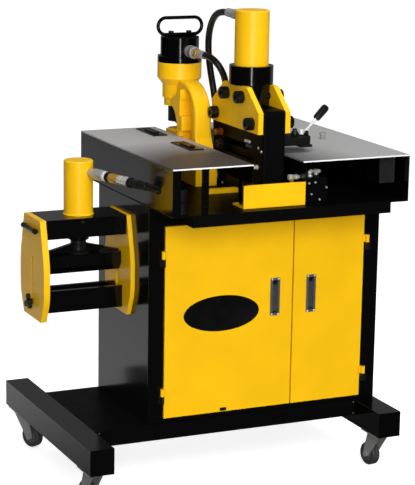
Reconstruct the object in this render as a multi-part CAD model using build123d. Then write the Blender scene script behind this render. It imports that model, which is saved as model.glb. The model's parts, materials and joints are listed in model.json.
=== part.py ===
from build123d import *
import os
from math import cos, pi, radians, sin, tan

# Busbar processing machine: a shear, a punch and a bender on one wheeled cabinet.
# Millimetres. X runs to the right and Y to the back. Before the last shift, X is counted from the
# cabinet's left side, Y from its front, and Z from the floor.

# Casters
caster_height = 86
wheel_diameter = 52
wheel_width = 20
caster_trail = 28
caster_inset = 48
caster_plate = 3
caster_plate_length = 64
fork_wall = 2.5
fork_crown = 7
fork_crown_diameter = 44
front_left_turn = 8
front_right_turn = 9
rear_left_turn = 207
rear_right_turn = 60
axle_diameter = 8
axle_head = 3
kingpin_diameter = 10
kingpin_head = 3

# Base
skid_length = 550
skid_width = 54
skid_height = 57
skid_wall = 3
skid_front = -120
left_skid_x = -151
right_skid_x = 537
tray_front = -5
tray_depth = 311
tray_height = 36
tray_wall = 4

# Cabinet
cabinet_width = 560
cabinet_depth = 294
cabinet_height = 481
sheet = 2
post_width = 36
opening_sill = 8
opening_height = 431
return_depth = 20
mullion_width = 30
mullion_thickness = 2.5
deck_thickness = 3
ledge_start = 47
ledge_width = 470
ledge_height = 23

# Doors, hinges and locks
door_split = 346
door_gap = 2
door_proud = 1
door_depth = 15
door_sheet = 2
knuckle_diameter = 9
knuckle_height = 17
hinge_pin_diameter = 5
hinge_stand_off = 0.8
hinge_side_gap = 1.5
hinge_leaf = 3
hinge_overlap = 4
hinge_heights = (62, 368)
lock_width = 23
lock_height = 85
lock_rim = 2.5
lock_bezel = 2
lock_depth = 16
lock_recess_depth = 11
lock_height_above_base = 261
left_lock_x = 302
right_lock_x = 391
lever_thickness = 6
lever_length = 58
lever_pin_diameter = 3

# Tables
table_front = -122.6
table_depth = 531.6
left_table_width = 184
table_gap = 117
table_box_height = 97
table_plate = 3
right_table_overhang = 20
right_wall_inset = 21
front_return = 18
front_bar_x = 66.6
front_bar_width = 15
front_bar_thickness = 4
front_bar_lap = 67
front_bar_offset = 2
inner_wall_length = 180
inner_wall_rise = 58
wall_leg_start = 50
wall_leg_width = 15
rear_tab_length = 24
insert_width = 34
insert_length = 106
insert_height = 3
insert_x = 143
insert_ys = (129, 331)
stop_pin_x = 475
stop_pin_y = 122
stop_pin_diameter = 14
stop_pin_height = 10

# Guard
guard_x = 175.5
guard_front = -95
guard_height = 50
guard_flange = 54
guard_thickness = 4

# Shear head
shear_x = 273.5
shear_y = 84
shear_body_width = 53
shear_body_depth = 244
shear_body_height = 195
shear_chamfer = 4
shear_rear_chamfer = 29
shear_edge_round = 5
throat_drop = 19
throat_width = 150
throat_height = 33
blade_thickness = 16
blade_height = 27
blade_proud = 17
blade_gap = 0.15
ram_plate_height = 50
shear_rod_diameter = 36
neck_diameter = 94
neck_height = 45
collar_diameter = 97
collar_height = 41
shear_cylinder_diameter = 75.5
shear_cylinder_height = 120
shear_bore_diameter = 58
shear_cylinder_top = 14
piston_height = 18
side_plate_thickness = 12
side_plate_top_width = 116
side_plate_width = 238
side_plate_height = 94
side_plate_shoulder = 46
upper_screw_spacing = 76
upper_screw_drop = 23
lower_screw_spacing = 182
lower_screw_drop = 29
screw_diameter = 14
screw_head_diameter = 27
screw_head_height = 18
screw_socket = 13
screw_reach = 14

# Hold-down clamp
clamp_y = 10
clamp_depth = 70
clamp_length = 77
clamp_thickness = 17
clamp_lift = 16
pad_thickness = 5
pad_width = 50
stem_diameter = 8
stem_offset = 15
stem_rise = 14
cam_diameter = 9
cam_width = 12
cam_rise = 6.5
cam_inset = 6
cam_pin_diameter = 4
cheek_thickness = 4
lever_rod_diameter = 6
lever_rod_length = 33
lever_tilt = 46
grip_diameter = 14
grip_length = 38

# Punch head
punch_x = 209
punch_y = 327
punch_bar_width = 74
punch_bar_front = 80
punch_bar_depth = 14
punch_bar_height = 10
punch_frame_thickness = 40
punch_spine_front = 188
punch_foot_front = 170
punch_foot_width = 52
punch_foot_height = 62
punch_throat_depth = 36
punch_shoulder_radius = 80
punch_front_round = 7
punch_flange_width = 60
punch_flange_thickness = 15
punch_flange_setback = 21
punch_flange_slope = 20
punch_rib_rise = 10
punch_rib_height = 33
punch_rib_reach = 12
punch_jaw_height = 105
punch_jaw_reach = 28
punch_throat_height = 76
punch_pocket = 16
punch_rim = 16
punch_pocket_radius = 46
brace_setback = 64
brace_drop = 18
brace_tip_drop = 10
brace_width = 20
brace_tip_inset = 8
brace_round = 53
head_diameter = 77
boss_diameter = 69
boss_length = 18
head_height = 30
head_taper = 15
ring_diameter = 101
ring_height = 36
cap_flange_height = 14
cap_diameter = 88
cap_height = 44
handle_width = 116
handle_height = 46
handle_rod = 8
handle_screw_spacing = 44
handle_screw_head = 12
punch_ram_diameter = 50
punch_ram_length = 125
punch_daylight = 17
punch_tip_diameter = 16
punch_tip_length = 6
die_diameter = 49
die_height = 4
die_hole_diameter = 17
slug_hole_diameter = 23
die_spigot_diameter = 30
die_spigot_depth = 12

# Bender
bender_y = 154
bender_drop = 38
bender_height = 222
bender_span = 185
bender_plate = 14
bender_inner_plate = 10
bender_top_width = 102
bender_mid_width = 153
bender_bottom_width = 108
bender_shoulder = 95
bender_shoulder_round = 180
bender_foot_rise = 50
bender_foot_round = 90
top_beam_height = 42
bender_cylinder_diameter = 64
bender_cylinder_height = 119
bender_bore_diameter = 50
bender_cylinder_top = 12
bender_rod_diameter = 32
rod_nut_diameter = 46
rod_nut_height = 13
bender_piston_height = 16
press_drop = 86
press_height = 27
press_nose_drop = 15
press_nose_inset = 12
press_depth = 44
press_clearance = 0.5
rib_rise = 21
rib_end_rise = 2
rib_thickness = 12
die_beam_rise = 12
die_beam_height = 48
die_beam_depth = 56
die_groove_width = 36
die_groove_depth = 14
slot_width = 10
inner_slot_width = 14
slot_bottom_rise = 30
slot_length = 106
slider_head = 17
slider_head_thickness = 4
slider_clearance = 0.3
knob_stud_diameter = 6
knob_reach = 14
knob_hub_diameter = 14
knob_lobe_diameter = 13
knob_lobe_circle = 24
keeper_drop = 24
keeper_length = 84
keeper_height = 11
keeper_thickness = 6

# Hydraulics
hose_diameter = 15
bend_share = 0.45
punch_chain = ((30, 20), (18, 17), (60, 28))
tail_diameter = 20
bulkhead_diameter = 24
bulkhead_height = 10
hose_end_gap = 0.8
hose_hole_gap = 2
bender_chain = ((32, 26), (18, 21), (22, 24), (30, 22), (74, 18))
valve_x = 335
valve_y = -75
valve_width = 50
valve_depth = 60
valve_height = 53
control_box_x = 507
control_box_y = -85
control_box_width = 38
control_box_depth = 55
control_box_height = 64
tank_x = 40
tank_y = 70
tank_width = 280
tank_depth = 190
tank_height = 170
tank_wall = 3
tank_lid = 6
motor_diameter = 130
motor_height = 190
pump_diameter = 90
pump_height = 90
gland_from_right = 80
gland_rise = 70
gland_bore = 12
gland_diameter = 22
gland_flange = 6
gland_length = 24

# Clearances
running_gap = 0.05
seat_gap = 0.3

# Levels
base_bottom = caster_height
base_top = base_bottom + skid_height
deck_bottom = base_top + cabinet_height
deck_top = deck_bottom + deck_thickness
table_underside = deck_top + table_box_height
table_top = table_underside + table_plate
table_back = table_front + table_depth
right_table_x = left_table_width + table_gap
skid_back = skid_front + skid_length
gland_x = cabinet_width - gland_from_right


def box(x0, x1, y0, y1, z0, z1):
    """A block between two corners."""
    middle = Pos((x0 + x1) / 2, (y0 + y1) / 2, (z0 + z1) / 2)
    return middle * Box(abs(x1 - x0), abs(y1 - y0), abs(z1 - z0))


def upright(x, y, z0, z1, diameter):
    """A round bar along Z."""
    return Pos(x, y, (z0 + z1) / 2) * Cylinder(diameter / 2, abs(z1 - z0))


def cross_bar(x0, x1, y, z, diameter):
    """A round bar along X."""
    return Pos((x0 + x1) / 2, y, z) * Rot(0, 90, 0) * Cylinder(diameter / 2, abs(x1 - x0))


def deep_bar(x, y0, y1, z, diameter):
    """A round bar along Y."""
    return Pos(x, (y0 + y1) / 2, z) * Rot(90, 0, 0) * Cylinder(diameter / 2, abs(y1 - y0))


def side_profile(points, x0, x1):
    """A plate that stands in the YZ plane, from its outline as (y, z) points."""
    return extrude(Plane.YZ.offset(x0) * Polygon(*points, align=None), amount=x1 - x0, dir=(1, 0, 0))


def front_profile(points, y0, y1):
    """A plate that stands in the XZ plane, from its outline as (x, z) points."""
    return extrude(Plane.XZ.offset(-y0) * Polygon(*points, align=None), amount=y1 - y0, dir=(0, 1, 0))


def round_edges(shape, axis, radius):
    """Rounds the edges that run along one axis."""
    return fillet(shape.edges().filter_by(axis), radius)


def round_corner(shape, y, z, radius):
    """Rounds the edge along X that stands at one corner of a side outline."""
    edges = shape.edges().filter_by(Axis.X)
    corner = min(edges, key=lambda edge: abs(edge.center().Y - y) + abs(edge.center().Z - z))
    return fillet(corner, radius)


def bar_between(start, end, diameter):
    """A round bar from one point to another."""
    line = Line(start, end)
    return sweep((line ^ 0) * Circle(diameter / 2), path=line)


# Base: two skids and the tray between them
def make_base():
    nodes = {"skids": [], "caster_plates": []}
    for x in (left_skid_x, right_skid_x):
        outer = box(x - skid_width / 2, x + skid_width / 2, skid_front, skid_back, base_bottom, base_top)
        inner = box(x - skid_width / 2 + skid_wall, x + skid_width / 2 - skid_wall,
                    skid_front + skid_wall, skid_back - skid_wall, base_bottom, base_top - skid_wall)
        nodes["skids"].append(outer - inner)
    left = left_skid_x + skid_width / 2
    right = right_skid_x - skid_width / 2
    back = tray_front + tray_depth
    tray = box(left, right, tray_front, back, base_top - tray_height, base_top)
    tray -= box(left, right, tray_front + tray_wall, back - tray_wall,
                base_top - tray_height, base_top - tray_wall)
    nodes["base_tray"] = [tray]
    plate, fork, axle, wheel = make_caster()
    for corner, (x, y, turn) in caster_places().items():
        place = Pos(x, y, 0)
        swivel = place * Rot(0, 0, turn)
        nodes["caster_plates"].append(place * plate)
        nodes["caster_fork_" + corner] = [swivel * fork, swivel * axle]
        nodes["caster_wheel_" + corner] = [swivel * wheel]
    return nodes


def caster_places():
    """The swivel axis of each caster and its rest turn; at no turn the wheel trails to the back."""
    front = skid_front + caster_inset
    back = skid_back - caster_inset
    return {"front_left": (left_skid_x, front, front_left_turn),
            "front_right": (right_skid_x, front, front_right_turn),
            "rear_left": (left_skid_x, back, rear_left_turn),
            "rear_right": (right_skid_x, back, rear_right_turn)}


def make_caster():
    """One caster with its swivel axis on the Z axis."""
    wheel_radius = wheel_diameter / 2
    half_wheel = wheel_width / 2
    plate_bottom = base_bottom - caster_plate
    crown_top = plate_bottom - seat_gap
    crown_bottom = crown_top - fork_crown
    # Top plate with its kingpin and the head that carries the fork
    half_width, half_length = skid_width / 2, caster_plate_length / 2
    plate = box(-half_width, half_width, -half_length, half_length, plate_bottom, base_bottom)
    pin_top = crown_bottom - seat_gap
    pin_bottom = pin_top - kingpin_head
    plate += upright(0, 0, pin_bottom, plate_bottom, kingpin_diameter)
    plate += upright(0, 0, pin_bottom, pin_top, kingpin_diameter * 1.7)
    # Fork: a round crown and two legs that lean back to the axle
    inner = half_wheel + 2 * seat_gap
    outer = inner + fork_wall
    fork = upright(0, 0, crown_bottom, crown_top, fork_crown_diameter)
    spread = fork_crown_diameter / 2
    leg_low = wheel_radius - axle_diameter / 2
    leg_outline = ((-spread, crown_top), (spread, crown_top),
                   (caster_trail + axle_diameter, wheel_radius + axle_diameter),
                   (caster_trail + axle_diameter, leg_low), (caster_trail - axle_diameter, leg_low))
    for x0, x1 in ((-outer, -inner), (inner, outer)):
        fork += side_profile(leg_outline, x0, x1)
    fork -= upright(0, 0, crown_bottom, crown_top, kingpin_diameter + 2 * running_gap)
    axle_hole = axle_diameter + 2 * running_gap
    fork -= cross_bar(-outer, outer, caster_trail, wheel_radius, axle_hole)
    # Axle with a head on each side
    axle = cross_bar(-outer, outer, caster_trail, wheel_radius, axle_diameter)
    for x0, x1 in ((-outer - axle_head, -outer), (outer, outer + axle_head)):
        axle += cross_bar(x0, x1, caster_trail, wheel_radius, axle_diameter * 1.6)
    # Wheel with a stepped hub
    wheel = cross_bar(-half_wheel, half_wheel, caster_trail, wheel_radius, wheel_diameter)
    wheel = fillet(wheel.edges().filter_by(GeomType.CIRCLE), wheel_width * 0.2)
    dish = wheel_width * 0.12
    for x0, x1 in ((-half_wheel, dish - half_wheel), (half_wheel - dish, half_wheel)):
        ring = cross_bar(x0, x1, caster_trail, wheel_radius, wheel_diameter * 0.66)
        wheel -= ring - cross_bar(x0, x1, caster_trail, wheel_radius, axle_diameter * 1.9)
    wheel -= cross_bar(-half_wheel, half_wheel, caster_trail, wheel_radius, axle_hole)
    return plate, fork, axle, wheel


# Cabinet: side and back panels, front frame and deck
def make_cabinet():
    width, depth = cabinet_width, cabinet_depth
    left_side = box(0, sheet, sheet, depth, base_top, deck_bottom)
    right_side = box(width - sheet, width, sheet, depth, base_top, deck_bottom)
    back = box(sheet, width - sheet, depth - sheet, depth, base_top, deck_bottom)
    gland_z = base_top + gland_rise
    back -= deep_bar(gland_x, depth - sheet, depth, gland_z, gland_diameter + 2 * running_gap)
    # Front frame: a sheet with the door opening, its returns and the post between the doors
    left, right, bottom, top = door_opening()
    frame = box(0, width, 0, sheet, base_top, deck_bottom)
    returns = box(left - sheet, right + sheet, 0, return_depth, bottom - sheet, top + sheet)
    frame += returns
    frame -= box(left, right, 0, return_depth, bottom, top)
    frame += box(door_split - mullion_width / 2, door_split + mullion_width / 2,
                 return_depth - mullion_thickness, return_depth, bottom, top)
    # Deck with the folded ledge under its front
    deck = box(0, width, table_front, table_back, deck_bottom, deck_top)
    slug_hole = upright(punch_x, punch_y, deck_bottom, deck_top, slug_hole_diameter)
    ledge_end = ledge_start + ledge_width
    ledge = box(ledge_start, ledge_end, table_front, 0, deck_bottom - ledge_height, deck_bottom)
    ledge -= box(ledge_start + sheet, ledge_end - sheet, table_front + sheet, 0,
                 deck_bottom - ledge_height, deck_bottom)
    return {"cabinet_shell": [left_side, back, right_side], "front_frame": [frame],
            "deck_plate": [deck + ledge - slug_hole]}


def door_opening():
    """Left, right, bottom and top of the door opening."""
    bottom = base_top + opening_sill
    return post_width, cabinet_width - post_width, bottom, bottom + opening_height


# Doors, hinges and locks
def make_doors():
    left, right, bottom, top = door_opening()
    z0 = bottom + door_gap
    z1 = top - door_gap
    nodes = {"door_hinges": []}
    sides = (("left", left + door_gap, door_split - door_gap * 0.75, -1, left_lock_x),
             ("right", door_split + door_gap * 0.75, right - door_gap, 1, right_lock_x))
    for name, x0, x1, side, lock_x in sides:
        front = -door_proud
        door = box(x0, x1, front, front + door_depth, z0, z1)
        door -= box(x0 + door_sheet, x1 - door_sheet, front + door_sheet, front + door_depth,
                    z0 + door_sheet, z1 - door_sheet)
        edge = x0 if side < 0 else x1
        axis_x, axis_y = hinge_axis(edge, side)
        for rise in hinge_heights:
            door, fixed = add_hinge(door, edge, axis_x, axis_y, side, base_top + rise)
            nodes["door_hinges"].append(fixed)
        hole, body, lever = make_lock(lock_x, front)
        nodes[name + "_door"] = [door - hole]
        nodes[name + "_lock_body"] = [body]
        nodes[name + "_lock_lever"] = [lever]
    return nodes


def hinge_axis(edge, side):
    """The hinge pin's place beside a door's edge."""
    return (edge + side * (knuckle_diameter / 2 + hinge_side_gap),
            -door_proud - hinge_stand_off - knuckle_diameter / 2)


def add_hinge(door, edge, axis_x, axis_y, side, z):
    """Adds the door's upper knuckle and makes the fixed lower knuckle with its pin."""
    front = -door_proud
    z_top = z + knuckle_height
    upper = upright(axis_x, axis_y, z, z_top, knuckle_diameter)
    upper += box(axis_x, edge - side * hinge_overlap, front - hinge_leaf, front, z, z_top)
    upper -= upright(axis_x, axis_y, z, z_top, hinge_pin_diameter + 2 * running_gap)
    z_low = z - seat_gap - knuckle_height
    fixed = upright(axis_x, axis_y, z_low, z - seat_gap, knuckle_diameter)
    fixed += box(axis_x, axis_x + side * knuckle_diameter, axis_y, 0, z_low, z - seat_gap)
    fixed += upright(axis_x, axis_y, z - seat_gap, z_top, hinge_pin_diameter)
    return door + upper, fixed


def make_lock(x, front):
    """A flush lock: its hole in the door, its body and the pull lever in the recess."""
    z_mid = base_top + lock_height_above_base
    inner_width = lock_width - 2 * lock_rim
    inner_height = lock_height - 2 * lock_rim
    fit = 2 * seat_gap

    def centred(width, height, y0, y1):
        return box(x - width / 2, x + width / 2, y0, y1, z_mid - height / 2, z_mid + height / 2)

    hole = centred(inner_width, inner_height, front, front + door_sheet)
    bezel = round_edges(centred(lock_width, lock_height, front - lock_bezel, front), Axis.Y, lock_rim)
    body = bezel + centred(inner_width - fit, inner_height - fit, front - lock_bezel, front + lock_depth)
    recess_width = inner_width - fit - 2 * lock_rim
    recess_height = inner_height - fit - 2 * lock_rim
    body -= centred(recess_width, recess_height, front - lock_bezel, front + lock_recess_depth)
    # The lever lies in the recess and turns on a pin at its foot
    half = lever_thickness / 2
    pin_y = front + half
    pin_z = z_mid - recess_height / 2 + lever_thickness
    body += cross_bar(x - inner_width / 2 + seat_gap, x + inner_width / 2 - seat_gap, pin_y, pin_z,
                      lever_pin_diameter)
    lever_width = recess_width - fit
    lever = box(x - lever_width / 2, x + lever_width / 2, pin_y - half, pin_y + half,
                pin_z, pin_z + lever_length)
    lever += cross_bar(x - lever_width / 2, x + lever_width / 2, pin_y, pin_z, lever_thickness)
    lever -= cross_bar(x - lever_width / 2, x + lever_width / 2, pin_y, pin_z,
                       lever_pin_diameter + 2 * running_gap)
    return hole, body, lever


# Tables and the guard
def make_tables():
    right_end = cabinet_width
    left_top = box(0, left_table_width, table_front, table_back, table_underside, table_top)
    right_top = box(right_table_x, right_end, table_front, table_back + right_table_overhang,
                    table_underside, table_top)
    # Left box: outer wall with its front return, rear wall, short inner wall and front bar
    inner_x = left_table_width
    left_box = box(0, sheet, table_front, table_back, deck_top, table_underside)
    left_box += box(0, front_return, table_front, table_front + sheet, deck_top, table_underside)
    left_box += box(0, inner_x, table_back - sheet, table_back, deck_top, table_underside)
    left_box += box(inner_x - sheet, inner_x, table_back - rear_tab_length, table_back,
                    deck_top, table_underside)
    hose_start, *_, hose_end = hose_routes()["bender_hose"]
    left_box -= bar_between(hose_start, hose_end, hose_diameter + 2 * hose_hole_gap)
    # The inner wall hangs under the table and stands on the guard's flange with one leg
    inner_wall = box(inner_x - sheet, inner_x, table_front, table_front + inner_wall_length,
                     deck_top + inner_wall_rise, table_underside)
    leg_front = table_front + wall_leg_start
    inner_wall += box(inner_x - sheet, inner_x, leg_front, leg_front + wall_leg_width,
                      deck_top + guard_thickness, table_underside)
    # The front bar is two strips that lap
    lap_y = table_front + front_bar_thickness
    upper_x = front_bar_x + front_bar_offset
    front_bar = box(front_bar_x, front_bar_x + front_bar_width, table_front, lap_y,
                    deck_top, deck_top + front_bar_lap)
    front_bar += box(upper_x, upper_x + front_bar_width, lap_y, lap_y + front_bar_thickness,
                     deck_top, table_underside)
    wall_x = right_table_x + right_wall_inset
    right_box = box(wall_x, wall_x + sheet, guard_front, table_back, deck_top, table_underside)
    right_box += box(right_end - sheet, right_end, table_front, table_back, deck_top, table_underside)
    right_box += box(wall_x, right_end, table_back - sheet, table_back, deck_top, table_underside)
    # Inserts on the left table and the stop pin on the right one
    inserts = []
    for y in insert_ys:
        plate = box(insert_x - insert_width / 2, insert_x + insert_width / 2, y - insert_length / 2,
                    y + insert_length / 2, table_top, table_top + insert_height)
        plate = round_edges(plate, Axis.Z, insert_width / 8)
        plate += box(insert_x - insert_width / 4, insert_x + insert_width / 4, y - insert_length / 3,
                     y + insert_length / 6, table_top, table_top + 2 * insert_height)
        inserts.append(plate)
    pin = upright(stop_pin_x, stop_pin_y, table_top, table_top + stop_pin_height, stop_pin_diameter)
    pin -= upright(stop_pin_x, stop_pin_y, table_top + stop_pin_height / 2, table_top + stop_pin_height,
                   stop_pin_diameter * 0.6)
    # Guard: an angle in front of the shear
    guard_end = wall_x - seat_gap
    guard = box(guard_x, guard_end, guard_front, guard_front + guard_flange,
                deck_top, deck_top + guard_thickness)
    guard += box(guard_x, guard_end, guard_front, guard_front + guard_thickness, deck_top,
                 deck_top + guard_height)
    return {"left_table_top": [left_top], "right_table_top": [right_top],
            "left_table_box": [left_box, inner_wall, front_bar], "right_table_box": [right_box],
            "table_inserts": inserts + [pin], "shear_guard": [guard]}


# Shear head
def make_shear():
    half = shear_body_width / 2
    x0, x1 = shear_x - half, shear_x + half
    y0, y1 = shear_y - shear_body_depth / 2, shear_y + shear_body_depth / 2
    body_top = deck_top + shear_body_height
    neck_top = body_top + neck_height
    collar_top = neck_top + collar_height
    cylinder_top = collar_top + shear_cylinder_height
    throat_bottom = table_top - throat_drop
    throat_top = throat_bottom + throat_height
    t0, t1 = shear_y - throat_width / 2, shear_y + throat_width / 2
    rod_hole = shear_rod_diameter + 2 * running_gap
    # The blades meet in the body's middle plane
    upper_x0 = shear_x + blade_gap
    upper_x1 = upper_x0 + blade_thickness
    lower_x1 = shear_x - blade_gap
    lower_x0 = lower_x1 - blade_thickness
    blade_top = throat_bottom + blade_proud
    body = box(x0, x1, y0, y1, deck_top, body_top)
    front_corner = body.edges().filter_by(Axis.X).group_by(Axis.Z)[-1].sort_by(Axis.Y)[0]
    body = chamfer(front_corner, shear_chamfer)
    rear_corner = body.edges().filter_by(Axis.X).group_by(Axis.Z)[-1].sort_by(Axis.Y)[-1]
    body = chamfer(rear_corner, shear_rear_chamfer)
    body = fillet(body.edges().filter_by(Axis.Z).group_by(Axis.Y)[0], shear_edge_round)
    body -= box(x0, x1, t0, t1, throat_bottom, throat_top)
    body -= box(upper_x0 - blade_gap, upper_x1 + blade_gap, t0, t1, throat_top, body_top)
    body -= box(lower_x0, lower_x1, t0, t1, blade_top - blade_height, throat_bottom)
    body -= upright(shear_x, shear_y, throat_top, body_top, shear_rod_diameter + 4 * seat_gap)
    lower_blade = box(lower_x0, lower_x1, t0, t1, blade_top - blade_height, blade_top)
    # Ram: the blade plate in its slot, the rod and the piston
    plate_bottom = throat_top - blade_gap
    plate_top = plate_bottom + ram_plate_height
    blade_line = plate_bottom + blade_height
    blade = box(upper_x0, upper_x1, t0 + blade_gap, t1 - blade_gap, plate_bottom, blade_line)
    carrier = box(upper_x0, upper_x1, t0 + blade_gap, t1 - blade_gap, blade_line, plate_top)
    piston_top = cylinder_top - shear_cylinder_top - seat_gap
    rod = upright(shear_x, shear_y, plate_top, piston_top, shear_rod_diameter)
    rod += upright(shear_x, shear_y, piston_top - piston_height, piston_top,
                   shear_bore_diameter - 2 * running_gap)
    ram = carrier + rod
    # Neck with flats for the side plates, and the collar above it
    neck = upright(shear_x, shear_y, body_top, neck_top, neck_diameter)
    neck &= box(x0, x1, shear_y - neck_diameter, shear_y + neck_diameter, body_top, neck_top)
    neck += upright(shear_x, shear_y, neck_top, collar_top, collar_diameter)
    neck -= upright(shear_x, shear_y, body_top, collar_top, rod_hole)
    cylinder = upright(shear_x, shear_y, collar_top, cylinder_top, shear_cylinder_diameter)
    cylinder = fillet(cylinder.faces().sort_by(Axis.Z)[-1].edges(), 3)
    cylinder -= upright(shear_x, shear_y, collar_top, cylinder_top - shear_cylinder_top,
                        shear_bore_diameter)
    # Side plates and the socket screws that hold them
    plate_low = neck_top - side_plate_height
    shoulder = plate_low + side_plate_shoulder
    wide, narrow = side_plate_width / 2, side_plate_top_width / 2
    outline = ((shear_y - wide, plate_low), (shear_y + wide, plate_low), (shear_y + wide, shoulder),
               (shear_y + narrow, neck_top), (shear_y - narrow, neck_top), (shear_y - wide, shoulder))
    plates, screws = [], []
    spots = [(shear_y + s * upper_screw_spacing / 2, neck_top - upper_screw_drop) for s in (-1, 1)]
    spots += [(shear_y + s * lower_screw_spacing / 2, body_top - lower_screw_drop) for s in (-1, 1)]
    for side in (-1, 1):
        face = shear_x + side * half
        outside = face + side * side_plate_thickness
        plate = side_profile(outline, face, outside)
        for y, z in spots:
            shank = cross_bar(face - side * screw_reach, outside, y, z, screw_diameter)
            plate -= shank
            screws.append(shank + socket_head(outside, side, y, z))
            if z > body_top:
                neck -= cross_bar(face - side * screw_reach, face, y, z, screw_diameter)
            else:
                body -= cross_bar(face - side * screw_reach, face, y, z, screw_diameter)
        plates.append(plate)
    return {"shear_body": [body], "shear_lower_blade": [lower_blade], "shear_ram": [ram, blade],
            "shear_neck": [neck], "shear_cylinder": [cylinder], "shear_side_plates": plates,
            "shear_screws": screws}


def socket_head(face, side, y, z):
    """The round head of a socket screw on a face that looks along X."""
    outer = face + side * screw_head_height
    head = cross_bar(face, outer, y, z, screw_head_diameter)
    socket = extrude(Plane.YZ.offset(outer) * Pos(y, z) * RegularPolygon(screw_socket / 2, 6),
                     amount=screw_head_height / 2, dir=(-side, 0, 0))
    return head - socket


# Hold-down clamp on the shear's right face
def make_clamp():
    x0 = shear_x + shear_body_width / 2
    x1 = x0 + clamp_length
    y0, y1 = clamp_y - clamp_depth / 2, clamp_y + clamp_depth / 2
    bottom = table_top + clamp_lift
    top = bottom + clamp_thickness
    cam_x = x1 - cam_inset
    cam_z = top + cam_rise
    stem_x = cam_x - stem_offset
    arm = box(x0, x1, y0, y1, bottom, top)
    outer_corners = arm.edges().filter_by(Axis.Z).group_by(Axis.X)[-1]
    arm = fillet(outer_corners, clamp_depth / 4)
    # Two cheeks carry the cam's pin
    cheek_inner = cam_width / 2 + seat_gap
    for side in (-1, 1):
        cheek_y0 = clamp_y + side * cheek_inner
        cheek_y1 = cheek_y0 + side * cheek_thickness
        arm += box(cam_x - cam_pin_diameter, cam_x + cam_pin_diameter, cheek_y0, cheek_y1, top, cam_z)
        arm += deep_bar(cam_x, cheek_y0, cheek_y1, cam_z, 2 * cam_pin_diameter)
    arm += deep_bar(cam_x, clamp_y - cheek_inner, clamp_y + cheek_inner, cam_z, cam_pin_diameter)
    # Pad with a stem that shows above the arm and one under the cam
    pad_top = bottom - seat_gap
    pad = box(cam_x - pad_width / 2, cam_x + cam_inset / 2, y0 + cheek_thickness, y1 - cheek_thickness,
              pad_top - pad_thickness, pad_top)
    cam_bottom = cam_z - cam_diameter / 2
    stem_y = clamp_y - cam_width
    stems = ((stem_x, stem_y, top + stem_rise), (cam_x, clamp_y, cam_bottom - seat_gap))
    for x, y, stem_top in stems:
        pad += upright(x, y, pad_top, stem_top, stem_diameter)
        arm -= upright(x, y, bottom, top, stem_diameter + 2 * running_gap)
    # Cam lever with its rod and grip
    cam = deep_bar(cam_x, clamp_y - cam_width / 2, clamp_y + cam_width / 2, cam_z, cam_diameter)
    tilt = radians(lever_tilt)

    def along(distance):
        return (cam_x + distance * cos(tilt), clamp_y, cam_z + distance * sin(tilt))

    rod_start = cam_diameter / 3
    grip_start = cam_diameter / 2 + lever_rod_length
    cam += bar_between(along(rod_start), along(grip_start), lever_rod_diameter)
    cam -= deep_bar(cam_x, clamp_y - cam_width / 2, clamp_y + cam_width / 2, cam_z,
                    cam_pin_diameter + 2 * running_gap)
    grip = bar_between(along(grip_start), along(grip_start + grip_length), grip_diameter)
    grip = fillet(grip.edges().filter_by(GeomType.CIRCLE), grip_diameter / 3)
    return {"clamp_arm": [arm], "clamp_pad": [pad], "clamp_lever": [cam, grip]}


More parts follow.
